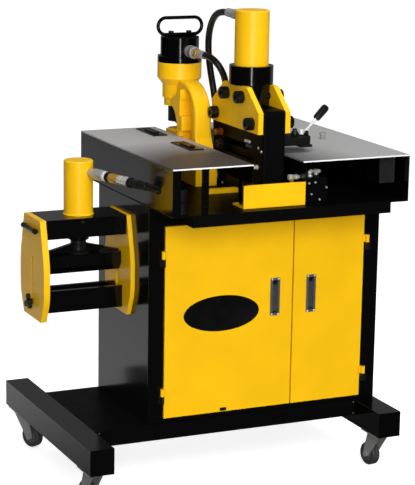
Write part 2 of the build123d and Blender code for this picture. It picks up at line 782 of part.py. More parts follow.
# Punch head
def make_punch():
    jaw_top = deck_top + punch_jaw_height
    roof = jaw_top + punch_throat_height
    head_top = roof + head_height
    ring_bottom = head_top + head_taper
    ring_top = ring_bottom + ring_height
    flange_top = ring_top + cap_flange_height
    cap_top = flange_top + cap_height
    x0, x1 = punch_x - punch_frame_thickness / 2, punch_x + punch_frame_thickness / 2
    # Bar on the deck in front of the foot
    bar = box(punch_x - punch_bar_width / 2, punch_x + punch_bar_width / 2, punch_bar_front,
              punch_bar_front + punch_bar_depth, deck_top, deck_top + punch_bar_height)
    # C-frame: its throat is open to the back, and its shoulder is round
    throat_wall = punch_y - punch_throat_depth
    jaw_back = punch_y + punch_jaw_reach
    spine = punch_spine_front
    outline = ((punch_foot_front, deck_top), (jaw_back, deck_top), (jaw_back, jaw_top), (throat_wall, jaw_top),
               (throat_wall, roof), (punch_y + head_diameter / 2 - boss_length, roof),
               (punch_y, ring_bottom), (spine, ring_bottom), (spine, jaw_top),
               (punch_foot_front, deck_top + punch_foot_height))
    frame = side_profile(outline, x0, x1)
    frame = round_corner(frame, spine, ring_bottom, punch_shoulder_radius)
    front_face = frame.faces().sort_by_distance((punch_x, spine, (3 * jaw_top + roof) / 4))[0]
    frame = fillet(front_face.edges().filter_by(Axis.Z), punch_front_round)
    # A pocket in each side leaves a rim that follows the shoulder
    front_line = spine + punch_rim
    flange_back = throat_wall - punch_flange_setback
    flange_front = flange_back - punch_flange_thickness
    pocket_top = ring_bottom - punch_rim
    pocket_outline = ((front_line, jaw_top - punch_rim), (flange_front, jaw_top - punch_rim),
                      (flange_front, pocket_top), (front_line, pocket_top))
    for side in (x0, x1 - punch_pocket):
        pocket = side_profile(pocket_outline, side, side + punch_pocket)
        frame -= round_corner(pocket, front_line, pocket_top, punch_pocket_radius)
    # A flange stands across the web in front of the throat, with a short rib on its face
    flange_half = punch_flange_width / 2
    flange_x0, flange_x1 = punch_x - flange_half, punch_x + flange_half
    slope_x0, slope_x1 = flange_x0 + punch_flange_slope, flange_x1 - punch_flange_slope
    slope_low = roof - punch_flange_slope
    flange_low = table_top + seat_gap
    frame += front_profile(((flange_x0, flange_low), (flange_x1, flange_low), (flange_x1, slope_low),
                            (slope_x1, roof + boss_length), (slope_x0, roof + boss_length),
                            (flange_x0, slope_low)), flange_front, flange_back)
    rib_low = jaw_top + punch_rib_rise
    frame += box(flange_x0, flange_x1, flange_front - punch_rib_reach, flange_front,
                 rib_low, rib_low + punch_rib_height)
    # A brace runs from the shoulder down to the boss, and its lower side is the throat's round corner
    brace_front = spine + brace_setback
    brace_top = ring_bottom - brace_drop
    brace_tip = punch_y - brace_tip_inset
    brace_end = roof - brace_tip_drop
    brace_low = brace_end - brace_round
    brace = side_profile(((brace_front, brace_top), (brace_tip, brace_end), (flange_back, brace_low),
                          (flange_front, brace_low), (flange_front, roof),
                          (brace_front, brace_top - brace_width)), flange_x0, flange_x1)
    brace -= cross_bar(flange_x0, flange_x1, flange_back + brace_round, brace_low, 2 * brace_round)
    frame += brace
    foot_half = punch_foot_width / 2
    frame += box(punch_x - foot_half, punch_x + foot_half, punch_foot_front, jaw_back, deck_top,
                 deck_top + punch_foot_height)
    # Round head: boss, barrel, taper and ring
    head = upright(punch_x, punch_y, roof - boss_length, roof, boss_diameter)
    head += upright(punch_x, punch_y, roof, head_top, head_diameter)
    taper = Cone(head_diameter / 2, ring_diameter / 2, head_taper)
    head += Pos(punch_x, punch_y, head_top + head_taper / 2) * taper
    head += upright(punch_x, punch_y, ring_bottom, ring_top, ring_diameter)
    frame += head
    ram_hole = punch_ram_diameter + 2 * running_gap
    frame -= upright(punch_x, punch_y, roof - boss_length, ring_top, ram_hole)
    frame -= upright(punch_x, punch_y, jaw_top - die_spigot_depth, jaw_top, die_spigot_diameter)
    frame -= upright(punch_x, punch_y, deck_top, jaw_top - die_spigot_depth, slug_hole_diameter)
    die = upright(punch_x, punch_y, jaw_top, jaw_top + die_height, die_diameter)
    die += upright(punch_x, punch_y, jaw_top - die_spigot_depth, jaw_top, die_spigot_diameter)
    die -= upright(punch_x, punch_y, jaw_top - die_spigot_depth, jaw_top + die_height, die_hole_diameter)
    # Ram with the punch at its end
    ram_bottom = jaw_top + die_height + punch_daylight
    ram = upright(punch_x, punch_y, ram_bottom, ram_bottom + punch_ram_length, punch_ram_diameter)
    ram += upright(punch_x, punch_y, ram_bottom - punch_tip_length, ram_bottom, punch_tip_diameter)
    cap = upright(punch_x, punch_y, ring_top, flange_top, ring_diameter)
    cap += upright(punch_x, punch_y, flange_top, cap_top, cap_diameter)
    cap = fillet(cap.faces().sort_by(Axis.Z)[-1].edges(), 2)
    # Carrying handle: a rounded loop whose lower side lies on the cap
    loop_width = handle_width - handle_rod
    loop_height = handle_height - handle_rod
    middle = cap_top + handle_height / 2
    path = Plane.XZ.offset(-punch_y) * Pos(punch_x, middle) * RectangleRounded(
        loop_width, loop_height, loop_height * 0.49)
    path = path.wire()
    handle = sweep((path ^ 0) * Circle(handle_rod / 2), path=path)
    screws = []
    for side in (-1, 1):
        x = punch_x + side * handle_screw_spacing / 2
        shank = upright(x, punch_y, cap_top - handle_rod, cap_top + handle_rod, handle_rod * 0.5)
        handle -= shank
        cap -= shank
        screw_head = upright(x, punch_y, cap_top + handle_rod, cap_top + handle_rod * 1.5,
                             handle_screw_head)
        screws.append(shank + screw_head)
    return {"punch_bar": [bar], "punch_frame": [frame], "punch_die": [die], "punch_ram": [ram],
            "punch_cap": [cap], "punch_handle": [handle] + screws}


# Bender on the cabinet's left side
def make_bender():
    top = deck_top - bender_drop
    bottom = top - bender_height
    inner_x = -bender_inner_plate
    outer_x = inner_x - bender_span
    face_x = outer_x - bender_plate
    middle_x = (inner_x + outer_x) / 2
    y = bender_y

    # Side plates that swell in the middle
    half_top, half_mid, half_bottom = bender_top_width / 2, bender_mid_width / 2, bender_bottom_width / 2
    shoulder = top - bender_shoulder
    foot = bottom + bender_foot_rise
    outline = ((y - half_top, top), (y + half_top, top), (y + half_mid, shoulder), (y + half_mid, foot),
               (y + half_bottom, bottom), (y - half_bottom, bottom), (y - half_mid, foot),
               (y - half_mid, shoulder))
    plates = []
    slot_low = bottom + slot_bottom_rise
    slot_high = slot_low + slot_length
    head_room = slider_head + 2 * slider_clearance
    head_depth = slider_head_thickness + slider_clearance
    for x0, x1, width in ((face_x, outer_x, slot_width), (inner_x, 0, inner_slot_width)):
        plate = side_profile(outline, x0, x1)
        for edge_y in (y - half_mid, y + half_mid):
            plate = round_corner(plate, edge_y, shoulder, bender_shoulder_round)
            plate = round_corner(plate, edge_y, foot, bender_foot_round)
        plate -= box(x0, x1, y - width / 2, y + width / 2, slot_low, slot_high)
        plates.append(plate)
    plates[0] -= box(outer_x - head_depth, outer_x, y - head_room / 2, y + head_room / 2,
                     slot_low - (head_room - slot_width) / 2, slot_high + (head_room - slot_width) / 2)
    # Top beam with the rod's nut under it, and cylinder
    beam_bottom = top - top_beam_height
    nut_bottom = beam_bottom - rod_nut_height
    beam = box(outer_x, inner_x, y - bender_top_width / 2, y + bender_top_width / 2, beam_bottom, top)
    beam += upright(middle_x, y, nut_bottom, beam_bottom, rod_nut_diameter)
    beam -= upright(middle_x, y, nut_bottom, top, bender_rod_diameter + 2 * running_gap)
    cylinder_top = top + bender_cylinder_height
    cylinder = upright(middle_x, y, top, cylinder_top, bender_cylinder_diameter)
    cylinder = fillet(cylinder.faces().sort_by(Axis.Z)[-1].edges(), 3)
    cylinder -= upright(middle_x, y, top, cylinder_top - bender_cylinder_top, bender_bore_diameter)
    # Press beam with a bevelled nose, and ribs that run up to the rod
    press_top = top - press_drop
    press_flat = press_top - press_height
    nose = press_flat - press_nose_drop
    half = press_depth / 2
    tip = half - press_nose_inset
    section = ((y - half, press_top), (y + half, press_top), (y + half, press_flat),
               (y + tip, nose), (y - tip, nose), (y - half, press_flat))
    press = side_profile(section, outer_x + press_clearance, inner_x - press_clearance)
    rod_half = bender_rod_diameter / 2
    rib_x0, rib_x1 = outer_x + press_clearance, inner_x - press_clearance
    rib_low, rib_high = press_top + rib_end_rise, press_top + rib_rise
    rib_outline = ((rib_x0, press_top), (rib_x1, press_top), (rib_x1, rib_low),
                   (middle_x + rod_half, rib_high), (middle_x - rod_half, rib_high), (rib_x0, rib_low))
    rib = front_profile(rib_outline, y - rib_thickness / 2, y + rib_thickness / 2)
    press += rib - upright(middle_x, y, press_top, press_top + rib_rise, bender_rod_diameter)
    piston_top = cylinder_top - bender_cylinder_top - seat_gap
    rod = upright(middle_x, y, press_top, piston_top, bender_rod_diameter)
    rod += upright(middle_x, y, piston_top - bender_piston_height, piston_top,
                   bender_bore_diameter - 2 * running_gap)
    # Die beam between the plates, with a bending groove along its top
    die_low = bottom + die_beam_rise
    die_high = die_low + die_beam_height
    die = box(outer_x, inner_x, y - die_beam_depth / 2, y + die_beam_depth / 2, die_low, die_high)
    die -= side_profile(((y - die_groove_width / 2, die_high), (y + die_groove_width / 2, die_high),
                         (y, die_high - die_groove_depth)), outer_x, inner_x)
    # Keeper bar across the outer plate, with two bolt heads
    keeper_z = top - keeper_drop
    keeper_face = face_x - keeper_thickness
    keeper = box(keeper_face, face_x, y - keeper_length / 2, y + keeper_length / 2,
                 keeper_z - keeper_height / 2, keeper_z + keeper_height / 2)
    for side in (-1, 1):
        bolt_y = y + side * (keeper_length - keeper_height) / 2
        keeper += cross_bar(keeper_face - keeper_thickness, keeper_face, bolt_y, keeper_z, keeper_height)
    # Stop slider: a square head in the plate's inner groove and a stud through the slot
    stop_z = slot_low + slot_width / 2
    knob_face = face_x - knob_reach
    head_x = outer_x - slider_clearance / 2
    slider = box(head_x - slider_head_thickness, head_x, y - slider_head / 2, y + slider_head / 2,
                 stop_z - slider_head / 2, stop_z + slider_head / 2)
    shank = slot_width - 2 * slider_clearance
    slider += box(face_x, head_x - slider_head_thickness, y - shank / 2, y + shank / 2,
                  stop_z - shank / 2, stop_z + shank / 2)
    slider += cross_bar(knob_face, face_x, y, stop_z, knob_stud_diameter)
    # Three-lobe knob on the stud
    knob_back = face_x - slider_clearance
    knob = cross_bar(knob_face, knob_back, y, stop_z, knob_hub_diameter)
    lobe_back = knob_back - knob_reach / 3
    for step in range(3):
        angle = radians(90 + 120 * step)
        lobe_y = y + knob_lobe_circle / 2 * cos(angle)
        lobe_z = stop_z + knob_lobe_circle / 2 * sin(angle)
        knob += cross_bar(knob_face, lobe_back, lobe_y, lobe_z, knob_lobe_diameter)
    knob -= cross_bar(knob_face, knob_back, y, stop_z, knob_stud_diameter + 2 * running_gap)
    return {"bender_plates": plates, "bender_top_beam": [beam], "bender_cylinder": [cylinder],
            "bender_ram": [rod], "press_beam": [press], "die_beam": [die], "keeper_bar": [keeper],
            "stop_slider": [slider], "stop_knob": [knob]}


# Hydraulics: hose routes, fittings, valve block and power unit
def hose_routes():
    """The points of each hose, chosen by hand along its route."""
    z = deck_top
    end = z + bulkhead_height + hose_end_gap
    shear = ((247, 133, z + 389), (241, 172, z + 391), (241, 214, z + 375), (243, 242, z + 340),
             (245, 250, z + 297), (246.5, 241, z + 253), (249, 227, z + 212), (253, 219.5, z + 169),
             (257, 223, z + 126), (259.5, 228.5, z + 84), (260, 230.5, z + 46), (259.5, 229, end))
    punch = ((213, 208, z + 290), (214.5, 187, z + 290.5), (221, 169, z + 285), (231, 159, z + 271),
             (242, 158, z + 251), (252.5, 168, z + 229), (262.5, 189, z + 205), (271.5, 216, z + 182),
             (279, 230, z + 149), (284, 234, z + 106), (285.5, 232, z + 60), (284.5, 229.5, end))
    bender = ((-18.7, -3.7, z + 47), (-4, -32, z + 45), (10.4, -60, z + 42.6), (24.8, -88.1, z + 41))
    return {"shear_hose": shear, "punch_hose": punch, "bender_hose": bender}


def hose_tube(name, points):
    """A hose along straight runs joined by arcs as large as the runs allow."""
    corners = [Vector(*point) for point in points]
    radii = []
    for before, corner, after in zip(corners, corners[1:], corners[2:]):
        run_in, run_out = corner - before, after - corner
        half_turn = radians(run_in.get_angle(run_out) / 2)
        radii.append(bend_share * min(run_in.length, run_out.length) / tan(half_turn))
    path = FilletPolyline(*corners, radius=radii)
    tube = sweep((path ^ 0) * Circle(hose_diameter / 2), path=path)
    expected = pi * hose_diameter ** 2 / 4 * path.length
    print(name, "radii", [round(radius) for radius in radii], "length", round(path.length),
          "volume share", round(tube.volume / expected, 3))
    return tube


def make_hydraulics():
    nodes = {name: [hose_tube(name, points)] for name, points in hose_routes().items()}
    fittings = []
    # Bulkheads in the deck under the shear and punch hoses
    for name in ("shear_hose", "punch_hose"):
        x, y, _ = hose_routes()[name][-1]
        fittings.append(upright(x, y, deck_top, deck_top + bulkhead_height, bulkhead_diameter))
    return nodes, fittings


def make_valves():
    valve = box(valve_x, valve_x + valve_width, valve_y, valve_y + valve_depth,
                deck_top, deck_top + valve_height)
    control = box(control_box_x, control_box_x + control_box_width, control_box_y,
                  control_box_y + control_box_depth, table_underside - control_box_height, table_underside)
    # Power unit: tank, lid, motor above and pump below
    tank_right, tank_back = tank_x + tank_width, tank_y + tank_depth
    tank_top = base_top + tank_height
    tank = box(tank_x, tank_right, tank_y, tank_back, base_top, tank_top)
    tank -= box(tank_x + tank_wall, tank_right - tank_wall, tank_y + tank_wall, tank_back - tank_wall,
                base_top + tank_wall, tank_top)
    lid = box(tank_x, tank_right, tank_y, tank_back, tank_top, tank_top + tank_lid)
    motor_x, motor_y = (tank_x + tank_right) / 2, (tank_y + tank_back) / 2
    motor_foot = tank_top + tank_lid
    motor = upright(motor_x, motor_y, motor_foot, motor_foot + motor_height, motor_diameter)
    pump = upright(motor_x, motor_y, tank_top - pump_height, tank_top, pump_diameter)
    # Cable gland in the back panel
    back = cabinet_depth
    gland_z = base_top + gland_rise
    gland = deep_bar(gland_x, back - sheet, back, gland_z, gland_diameter)
    gland += deep_bar(gland_x, back, back + gland_flange, gland_z, gland_diameter * 1.4)
    gland += deep_bar(gland_x, back, back + gland_length, gland_z, gland_diameter)
    gland -= deep_bar(gland_x, back - sheet, back + gland_length, gland_z, gland_bore)
    return {"valve_block": [valve], "control_box": [control], "power_unit": [tank, lid, motor, pump],
            "cable_gland": [gland]}


def make_fittings():
    """Couplers and ports where the hoses end."""
    pieces = []
    routes = hose_routes()
    # Punch coupler: straight out of the cap's front
    x, y, z = routes["punch_hose"][0]
    near = y + hose_end_gap
    coupler = None
    for length, diameter in punch_chain:
        link = deep_bar(x, near, near + length, z, diameter)
        coupler = link if coupler is None else coupler + link
        near += length
    pieces.append(coupler - upright(punch_x, punch_y, deck_top, z + ring_diameter, cap_diameter))
    # Shear port at the back of the cylinder, in line with the hose's first run
    first, second = (Vector(*point) for point in routes["shear_hose"][:2])
    run = (second - first).normalized()
    port = bar_between(first - run * hose_end_gap, first - run * shear_cylinder_diameter / 2, tail_diameter)
    body = upright(shear_x, shear_y, deck_top, first.Z + ring_diameter, shear_cylinder_diameter)
    pieces.append(port - body)
    # Bender coupler: from the cylinder to the short hose
    first, second = (Vector(*point) for point in routes["bender_hose"][:2])
    run = (first - second).normalized()
    axis_x = -bender_inner_plate - bender_span / 2
    chain = None
    near = hose_end_gap
    for length, diameter in bender_chain:
        link = bar_between(first + run * near, first + run * (near + length), diameter)
        chain = link if chain is None else chain + link
        near += length
    body = upright(axis_x, bender_y, deck_top, table_top + ring_diameter, bender_cylinder_diameter)
    pieces.append(chain - body)
    # Post inside the left table's box, where the short hose ends
    last = Vector(*routes["bender_hose"][-1])
    centre = last - run * (bulkhead_diameter / 2 + hose_end_gap)
    pieces.append(upright(centre.X, centre.Y, deck_top, last.Z + bulkhead_diameter / 2, bulkhead_diameter))
    return pieces


def main():
    nodes = {}
    for part in (make_base(), make_cabinet(), make_doors(), make_tables(), make_shear(), make_clamp(),
                 make_punch(), make_bender(), make_valves()):
        nodes.update(part)
    hoses, fittings = make_hydraulics()
    nodes.update(hoses)
    nodes["hose_fittings"] = fittings + make_fittings()
    # The origin goes to the middle of the footprint, on the floor
    knob_tip = -bender_inner_plate - bender_span - bender_plate - knob_reach
    x_middle = (knob_tip + right_skid_x + skid_width / 2) / 2
    y_middle = (table_front + skid_back) / 2
    shift = Pos(-x_middle, -y_middle, 0)
    os.makedirs("parts", exist_ok=True)
    for name, solids in nodes.items():
        pieces = [shift * solid for shape in solids for solid in shape.solids()]
        shape = pieces[0] if len(pieces) == 1 else Compound(children=pieces)
        export_step(shape, "parts/" + name + ".step")


main()
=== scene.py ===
import json
from contextlib import contextmanager
from math import cos, radians, sin

import bmesh
import bpy
from mathutils import Matrix, Vector


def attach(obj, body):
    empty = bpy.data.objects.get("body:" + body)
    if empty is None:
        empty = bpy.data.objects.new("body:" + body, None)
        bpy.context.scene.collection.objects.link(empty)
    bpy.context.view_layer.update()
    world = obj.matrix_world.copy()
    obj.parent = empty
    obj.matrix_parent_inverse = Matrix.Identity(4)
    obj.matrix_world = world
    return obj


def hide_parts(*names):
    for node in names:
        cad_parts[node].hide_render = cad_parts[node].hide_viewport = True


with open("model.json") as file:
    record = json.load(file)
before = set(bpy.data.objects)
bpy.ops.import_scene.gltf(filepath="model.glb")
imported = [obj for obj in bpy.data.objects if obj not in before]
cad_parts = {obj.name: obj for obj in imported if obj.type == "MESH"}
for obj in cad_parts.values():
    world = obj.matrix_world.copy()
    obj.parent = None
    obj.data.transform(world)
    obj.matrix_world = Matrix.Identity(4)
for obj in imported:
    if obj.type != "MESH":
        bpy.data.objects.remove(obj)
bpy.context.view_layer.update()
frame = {"nodes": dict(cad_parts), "record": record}
nodes = frame["nodes"]

# The part's drawing counts millimetres from the cabinet's left front corner. This point is its middle.
DRAWING_MIDDLE = (170.5, 153.7)
MM = 0.001

# Ways that pieces point
LEFT, RIGHT = (-1, 0, 0), (1, 0, 0)
FRONT, BACK = (0, -1, 0), (0, 1, 0)
UP = (0, 0, 1)

# Heights and faces that pieces stand on
DECK_TOP = 627.0
TABLE_TOP = 727.0
VALVE_TOP = 680.0
VALVE_FRONT = -75.0
BAR_SCREW_FOOT = -121.05
BAY_SCREW_FOOT = 20.5
DOOR_FRONT = -1.0
LOCK_FRONT = -3.0
LOCK_FLOOR = 10.0
TRAY_FRONT = -5.0
CABINET_BACK = 294.0

# Shear and clamp
SHEAR_Y = 84.0
SHEAR_LEFT = 247.0
SHEAR_RIGHT = 300.0
SHEAR_BODY_TOP = 822.0
SHEAR_NECK_TOP = 867.0
SIDE_PLATE = 12.0
CLAMP_Y = 10.0
CLAMP_TOP = 760.0
CLAMP_ARM = (77.0, 70.0, 17.0)
CLAMP_ROUND = 26.0
CLAMP_TILT = 46.0
CAM_X = 371.0
CAM_Z = 766.5

# Bender
BENDER_X = -102.5
BENDER_Y = 154.0
BENDER_TOP = 589.0
BENDER_FACE = -209.0
PRESS_TOP = 503.0
KEEPER_Z = 565.0
STOP_Z = 402.0
KNOB_CIRCLE = 12.0

# Doors: oval plate and locks
OVAL_HALF_WIDTH = 90.5
OVAL_HALF_HEIGHT = 40.0
LOCK_Z = 404.0
LOCK_X = {"left": 302.0, "right": 391.0}

# Casters: the kingpin's x and y, and the fork's turn in degrees
CASTERS = {"front_left": (-151, -72, 8), "front_right": (537, -72, 9),
           "rear_left": (-151, 382, 207), "rear_right": (537, 382, 60)}
CASTER_TRAIL = 28.0
WHEEL_RADIUS = 26.0

# Hoses: each route as x, y and height above the deck
HOSE_DIAMETER = 15.0
HOSE_ROUTES = {
    "shear_hose": ((247, 133, 389), (241, 172, 391), (241, 214, 375), (243, 242, 340), (245, 250, 297),
                   (246.5, 241, 253), (249, 227, 212), (253, 219.5, 169), (257, 223, 126), (259.5, 228.5, 84),
                   (260, 230.5, 46), (259.5, 229, 10.8)),
    "punch_hose": ((213, 208, 290), (214.5, 187, 290.5), (221, 169, 285), (231, 159, 271), (242, 158, 251),
                   (252.5, 168, 229), (262.5, 189, 205), (271.5, 216, 182), (279, 230, 149), (284, 234, 106),
                   (285.5, 232, 60), (284.5, 229.5, 10.8)),
    "bender_hose": ((-18.7, -3.7, 47), (-4, -32, 45), (10.4, -60, 42.6), (24.8, -88.1, 41)),
}

# Profile of a small dome screw, as (radius, height)
DOME = ((3.2, 0), (3.2, 0.9), (2.4, 2.0), (1.0, 2.5))

# Camera, as the photograph was taken
CAMERA_PLACE = (-1518.3, -3601.5, 1419.3)
CAMERA_YAW = 24.68
CAMERA_PITCH = 12.53
CAMERA_ROLL = -0.965
CAMERA_LENS = 139.74
CAMERA_SENSOR = 36.0

# Floor and lights, in metres. The lights look at one point.
FLOOR_SIZE = 40.0
FLOOR_HEIGHT = -0.0005
LIGHT_AIM = (0.0, 0.0, 0.55)
WHITE = (1.0, 1.0, 1.0, 1.0)


def at(x, y, z):
    """A point of the drawing, in millimetres, as a point of the model in metres."""
    return Vector(((x - DRAWING_MIDDLE[0]) * MM, (y - DRAWING_MIDDLE[1]) * MM, z * MM))


# Materials
def add_node(tree, kind, **inputs):
    """A new node with some of its inputs set."""
    made = tree.nodes.new(kind)
    for name, value in inputs.items():
        made.inputs[name.replace("_", " ")].default_value = value
    return made


class Finish:
    """One material with short calls to add and join its nodes."""

    def __init__(self, name, colour, roughness, metallic=0.0):
        self.material = bpy.data.materials.new(name)
        self.material.use_nodes = True
        self.tree = self.material.node_tree
        self.shader = self.tree.nodes["Principled BSDF"]
        self.shader.inputs["Base Color"].default_value = (*colour, 1.0)
        self.shader.inputs["Roughness"].default_value = roughness
        self.shader.inputs["Metallic"].default_value = metallic
        self.place = self.tree.nodes.new("ShaderNodeTexCoord").outputs["Object"]
        self.edges = None

    def node(self, kind, **inputs):
        return add_node(self.tree, kind, **inputs)

    def join(self, start, end):
        self.tree.links.new(start, end)

    def noise(self, scale, detail=3.0, stretch=(1.0, 1.0, 1.0)):
        mapping = self.node("ShaderNodeMapping", Scale=stretch)
        self.join(self.place, mapping.inputs["Vector"])
        noise = self.node("ShaderNodeTexNoise", Scale=scale, Detail=detail)
        self.join(mapping.outputs["Vector"], noise.inputs["Vector"])
        return noise.outputs["Fac"]

    def vary_colour(self, factor, dark, light):
        """The base colour between a dark and a light shade."""
        ramp = self.node("ShaderNodeValToRGB")
        ramp.color_ramp.elements[0].position = 0.3
        ramp.color_ramp.elements[1].position = 0.7
        ramp.color_ramp.elements[0].color = (*dark, 1.0)
        ramp.color_ramp.elements[1].color = (*light, 1.0)
        self.join(factor, ramp.inputs["Fac"])
        self.join(ramp.outputs["Color"], self.shader.inputs["Base Color"])

    def paint_light_by_facing(self, axis, low, high, colour):
        """Painted light and shade by the way a face looks: another colour on faces whose normal runs from a
        low to a high share of one axis.
        """
        faces = self.node("ShaderNodeNewGeometry")
        parts = self.node("ShaderNodeSeparateXYZ")
        self.join(faces.outputs["True Normal"], parts.inputs["Vector"])
        turned_there = self.node("ShaderNodeMapRange", From_Min=low, From_Max=high)
        self.join(parts.outputs[axis], turned_there.inputs["Value"])
        mix = self.node("ShaderNodeMixRGB", Color2=(*colour, 1.0))
        self.join(turned_there.outputs["Result"], mix.inputs["Fac"])
        self.join(self.shader.inputs["Base Color"].links[0].from_socket, mix.inputs["Color1"])
        self.join(mix.outputs["Color"], self.shader.inputs["Base Color"])

    def distance_from(self, place, near, far):
        """A factor that grows from 0 to 1 with the distance from a place, in metres."""
        measure = self.node("ShaderNodeVectorMath")
        measure.operation = "DISTANCE"
        self.join(self.place, measure.inputs[0])
        measure.inputs[1].default_value = place
        spread = self.node("ShaderNodeMapRange", From_Min=near, From_Max=far)
        self.join(measure.outputs["Value"], spread.inputs["Value"])
        return spread.outputs["Result"]

    def vary_roughness(self, factor, low, high):
        spread = self.node("ShaderNodeMapRange", To_Min=low, To_Max=high)
        self.join(factor, spread.inputs["Value"])
        self.join(spread.outputs["Result"], self.shader.inputs["Roughness"])

    def soften_edges(self, radius):
        """Rounds the look of sharp edges, before bump is added."""
        self.edges = self.node("ShaderNodeBevel", Radius=radius)
        self.edges.samples = 6

    def bump(self, factor, distance):
        bump = self.node("ShaderNodeBump", Distance=distance, Strength=1.0)
        self.join(factor, bump.inputs["Height"])
        if self.edges:
            self.join(self.edges.outputs["Normal"], bump.inputs["Normal"])
        self.join(bump.outputs["Normal"], self.shader.inputs["Normal"])


def shade(colour, share):
    return tuple(channel * share for channel in colour)


def powder_coat(name, colour, roughness, gloss):
    """Powder coat: a slight orange peel, a little change of colour and gloss."""
    finish = Finish(name, colour, roughness)
    finish.shader.inputs["Specular IOR Level"].default_value = gloss
    finish.vary_colour(finish.noise(9.0, 4.0), shade(colour, 0.94), shade(colour, 1.04))
    finish.vary_roughness(finish.noise(25.0, 5.0), roughness * 0.85, roughness * 1.25)
    finish.soften_edges(0.0012)
    finish.bump(finish.noise(420.0, 2.0), 0.00002)
    return finish.material


def ground_steel(name, colour, roughness, along, metallic):
    """Steel with fine grinding lines along one axis."""
    finish = Finish(name, colour, roughness, metallic)
    stretch = [1.0, 1.0, 1.0]
    stretch[along] = 0.02
    lines = finish.noise(900.0, 4.0, stretch)
    finish.vary_colour(finish.noise(6.0, 5.0), shade(colour, 0.9), shade(colour, 1.08))
    finish.vary_roughness(lines, roughness * 0.8, roughness * 1.3)
    finish.bump(lines, 0.00001)
    return finish


def table_steel():
    """Sheet with painted shade that darkens it near the heads as a painted dark reflection of them, and a
    painted highlight on its front-facing cut edge.
    """
    finish = ground_steel("table_steel", (0.3, 0.3, 0.3), 0.45, 1, 0.1)
    finish.shader.inputs["Specular IOR Level"].default_value = 0.25
    # Painted reflection: the sheet is darker near the heads, where the dark machine would be reflected
    painted_dark_reflection = finish.distance_from(at(130, -110, TABLE_TOP), 0.0, 0.46)
    finish.vary_colour(painted_dark_reflection, (0.06, 0.06, 0.061), (0.45, 0.45, 0.45))
    # Painted highlight: faces that look to the front are turned near white
    finish.paint_light_by_facing("Y", -0.6, -0.9, (0.95, 0.95, 0.95))
    return finish.material


def box_plastic():
    """The dim control box, with painted shade that makes its left side darker still."""
    finish = Finish("grey_plastic", (0.014, 0.0145, 0.015), 0.45)
    finish.vary_colour(finish.noise(40.0, 4.0), (0.012, 0.012, 0.0125), (0.016, 0.0165, 0.017))
    # Painted shade on the faces that look to the left
    finish.paint_light_by_facing("X", -0.6, -0.9, (0.001, 0.001, 0.001))
    finish.bump(finish.noise(260.0, 3.0), 0.00004)
    return finish.material


def plated(name, colour, roughness, metallic):
    """Plated metal with faint blotches."""
    finish = Finish(name, colour, roughness, metallic)
    finish.vary_colour(finish.noise(60.0, 4.0), shade(colour, 0.92), shade(colour, 1.04))
    finish.vary_roughness(finish.noise(140.0, 4.0), roughness * 0.85, roughness * 1.2)
    finish.bump(finish.noise(300.0, 3.0), 0.000004)
    return finish.material


def moulded(name, colour, roughness):
    """Moulded rubber or plastic with a fine grain."""
    finish = Finish(name, colour, roughness)
    finish.vary_colour(finish.noise(40.0, 4.0), shade(colour, 0.8), shade(colour, 1.2))
    finish.vary_roughness(finish.noise(90.0, 4.0), roughness * 0.85, roughness * 1.1)
    finish.bump(finish.noise(260.0, 3.0), 0.00004)
    return finish.material


# Coats have a colour, a roughness and a gloss, metals a roughness and a metallic share
finishes = {
    "black_coat": powder_coat("black_coat", (0.002, 0.002, 0.0021), 0.13, 0.42),
    "yellow_coat": powder_coat("yellow_coat", (0.95, 0.53, 0.006), 0.3, 0.3),
    "black_satin": powder_coat("black_satin", (0.0025, 0.0025, 0.0026), 0.42, 0.05),
    "black_oxide": powder_coat("black_oxide", (0.006, 0.006, 0.006), 0.5, 0.1),
    "table_steel": table_steel(),
    "tool_steel": ground_steel("tool_steel", (0.06, 0.06, 0.062), 0.45, 1, 0.6).material,
    "dark_steel": plated("dark_steel", (0.012, 0.012, 0.0125), 0.30, 0.4),
    "screw_black": plated("screw_black", (0.008, 0.008, 0.0085), 0.26, 0.3),
    "zinc": plated("zinc", (0.62, 0.62, 0.61), 0.26, 0.55),
    "worn_zinc": plated("worn_zinc", (0.46, 0.46, 0.44), 0.32, 0.5),
    "fork_zinc": plated("fork_zinc", (0.34, 0.34, 0.335), 0.48, 0.35),
    "nickel": plated("nickel", (0.66, 0.65, 0.60), 0.22, 0.5),
    "chrome": plated("chrome", (0.9, 0.9, 0.9), 0.12, 0.3),
    "brass": plated("brass", (0.62, 0.36, 0.08), 0.28, 0.55),
    "copper": plated("copper", (0.24, 0.065, 0.015), 0.30, 0.5),
    "lock_cast": plated("lock_cast", (0.19, 0.19, 0.205), 0.36, 0.6),
    "lever_grey": plated("lever_grey", (0.11, 0.11, 0.115), 0.4, 0.6),
    "hub_grey": plated("hub_grey", (0.12, 0.12, 0.12), 0.35, 0.4),
    "tyre_grey": moulded("tyre_grey", (0.045, 0.045, 0.046), 0.55),
    "hose_rubber": moulded("hose_rubber", (0.006, 0.006, 0.006), 0.30),
    "grey_plastic": box_plastic(),
    "black_plastic": moulded("black_plastic", (0.008, 0.008, 0.008), 0.3),
    "oval_black": moulded("oval_black", (0.004, 0.004, 0.004), 0.24),
}

# Solids that differ from the other ones of their slot
NODE_FINISHES = {"left_lock_lever": "lever_grey", "right_lock_lever": "lever_grey"}
for dull in ("deck_plate", "base_tray", "shear_body", "shear_ram", "shear_lower_blade", "valve_block"):
    NODE_FINISHES[dull] = "black_satin"
for corner in CASTERS:
    NODE_FINISHES["caster_fork_" + corner] = "fork_zinc"


def paint_solids():
    """Each solid takes the finish of its slot in the record, or its own."""
    for part in frame["record"]["subparts"]:
        solid = nodes[part["node"]]
        finish = NODE_FINISHES.get(part["node"], part["material_slot"])
        solid.data.materials.clear()
        solid.data.materials.append(finishes[finish])


# Hoses
def route(name):
    """The points of a hose's route in the drawing."""
    return [(x, y, DECK_TOP + rise) for x, y, rise in HOSE_ROUTES[name]]


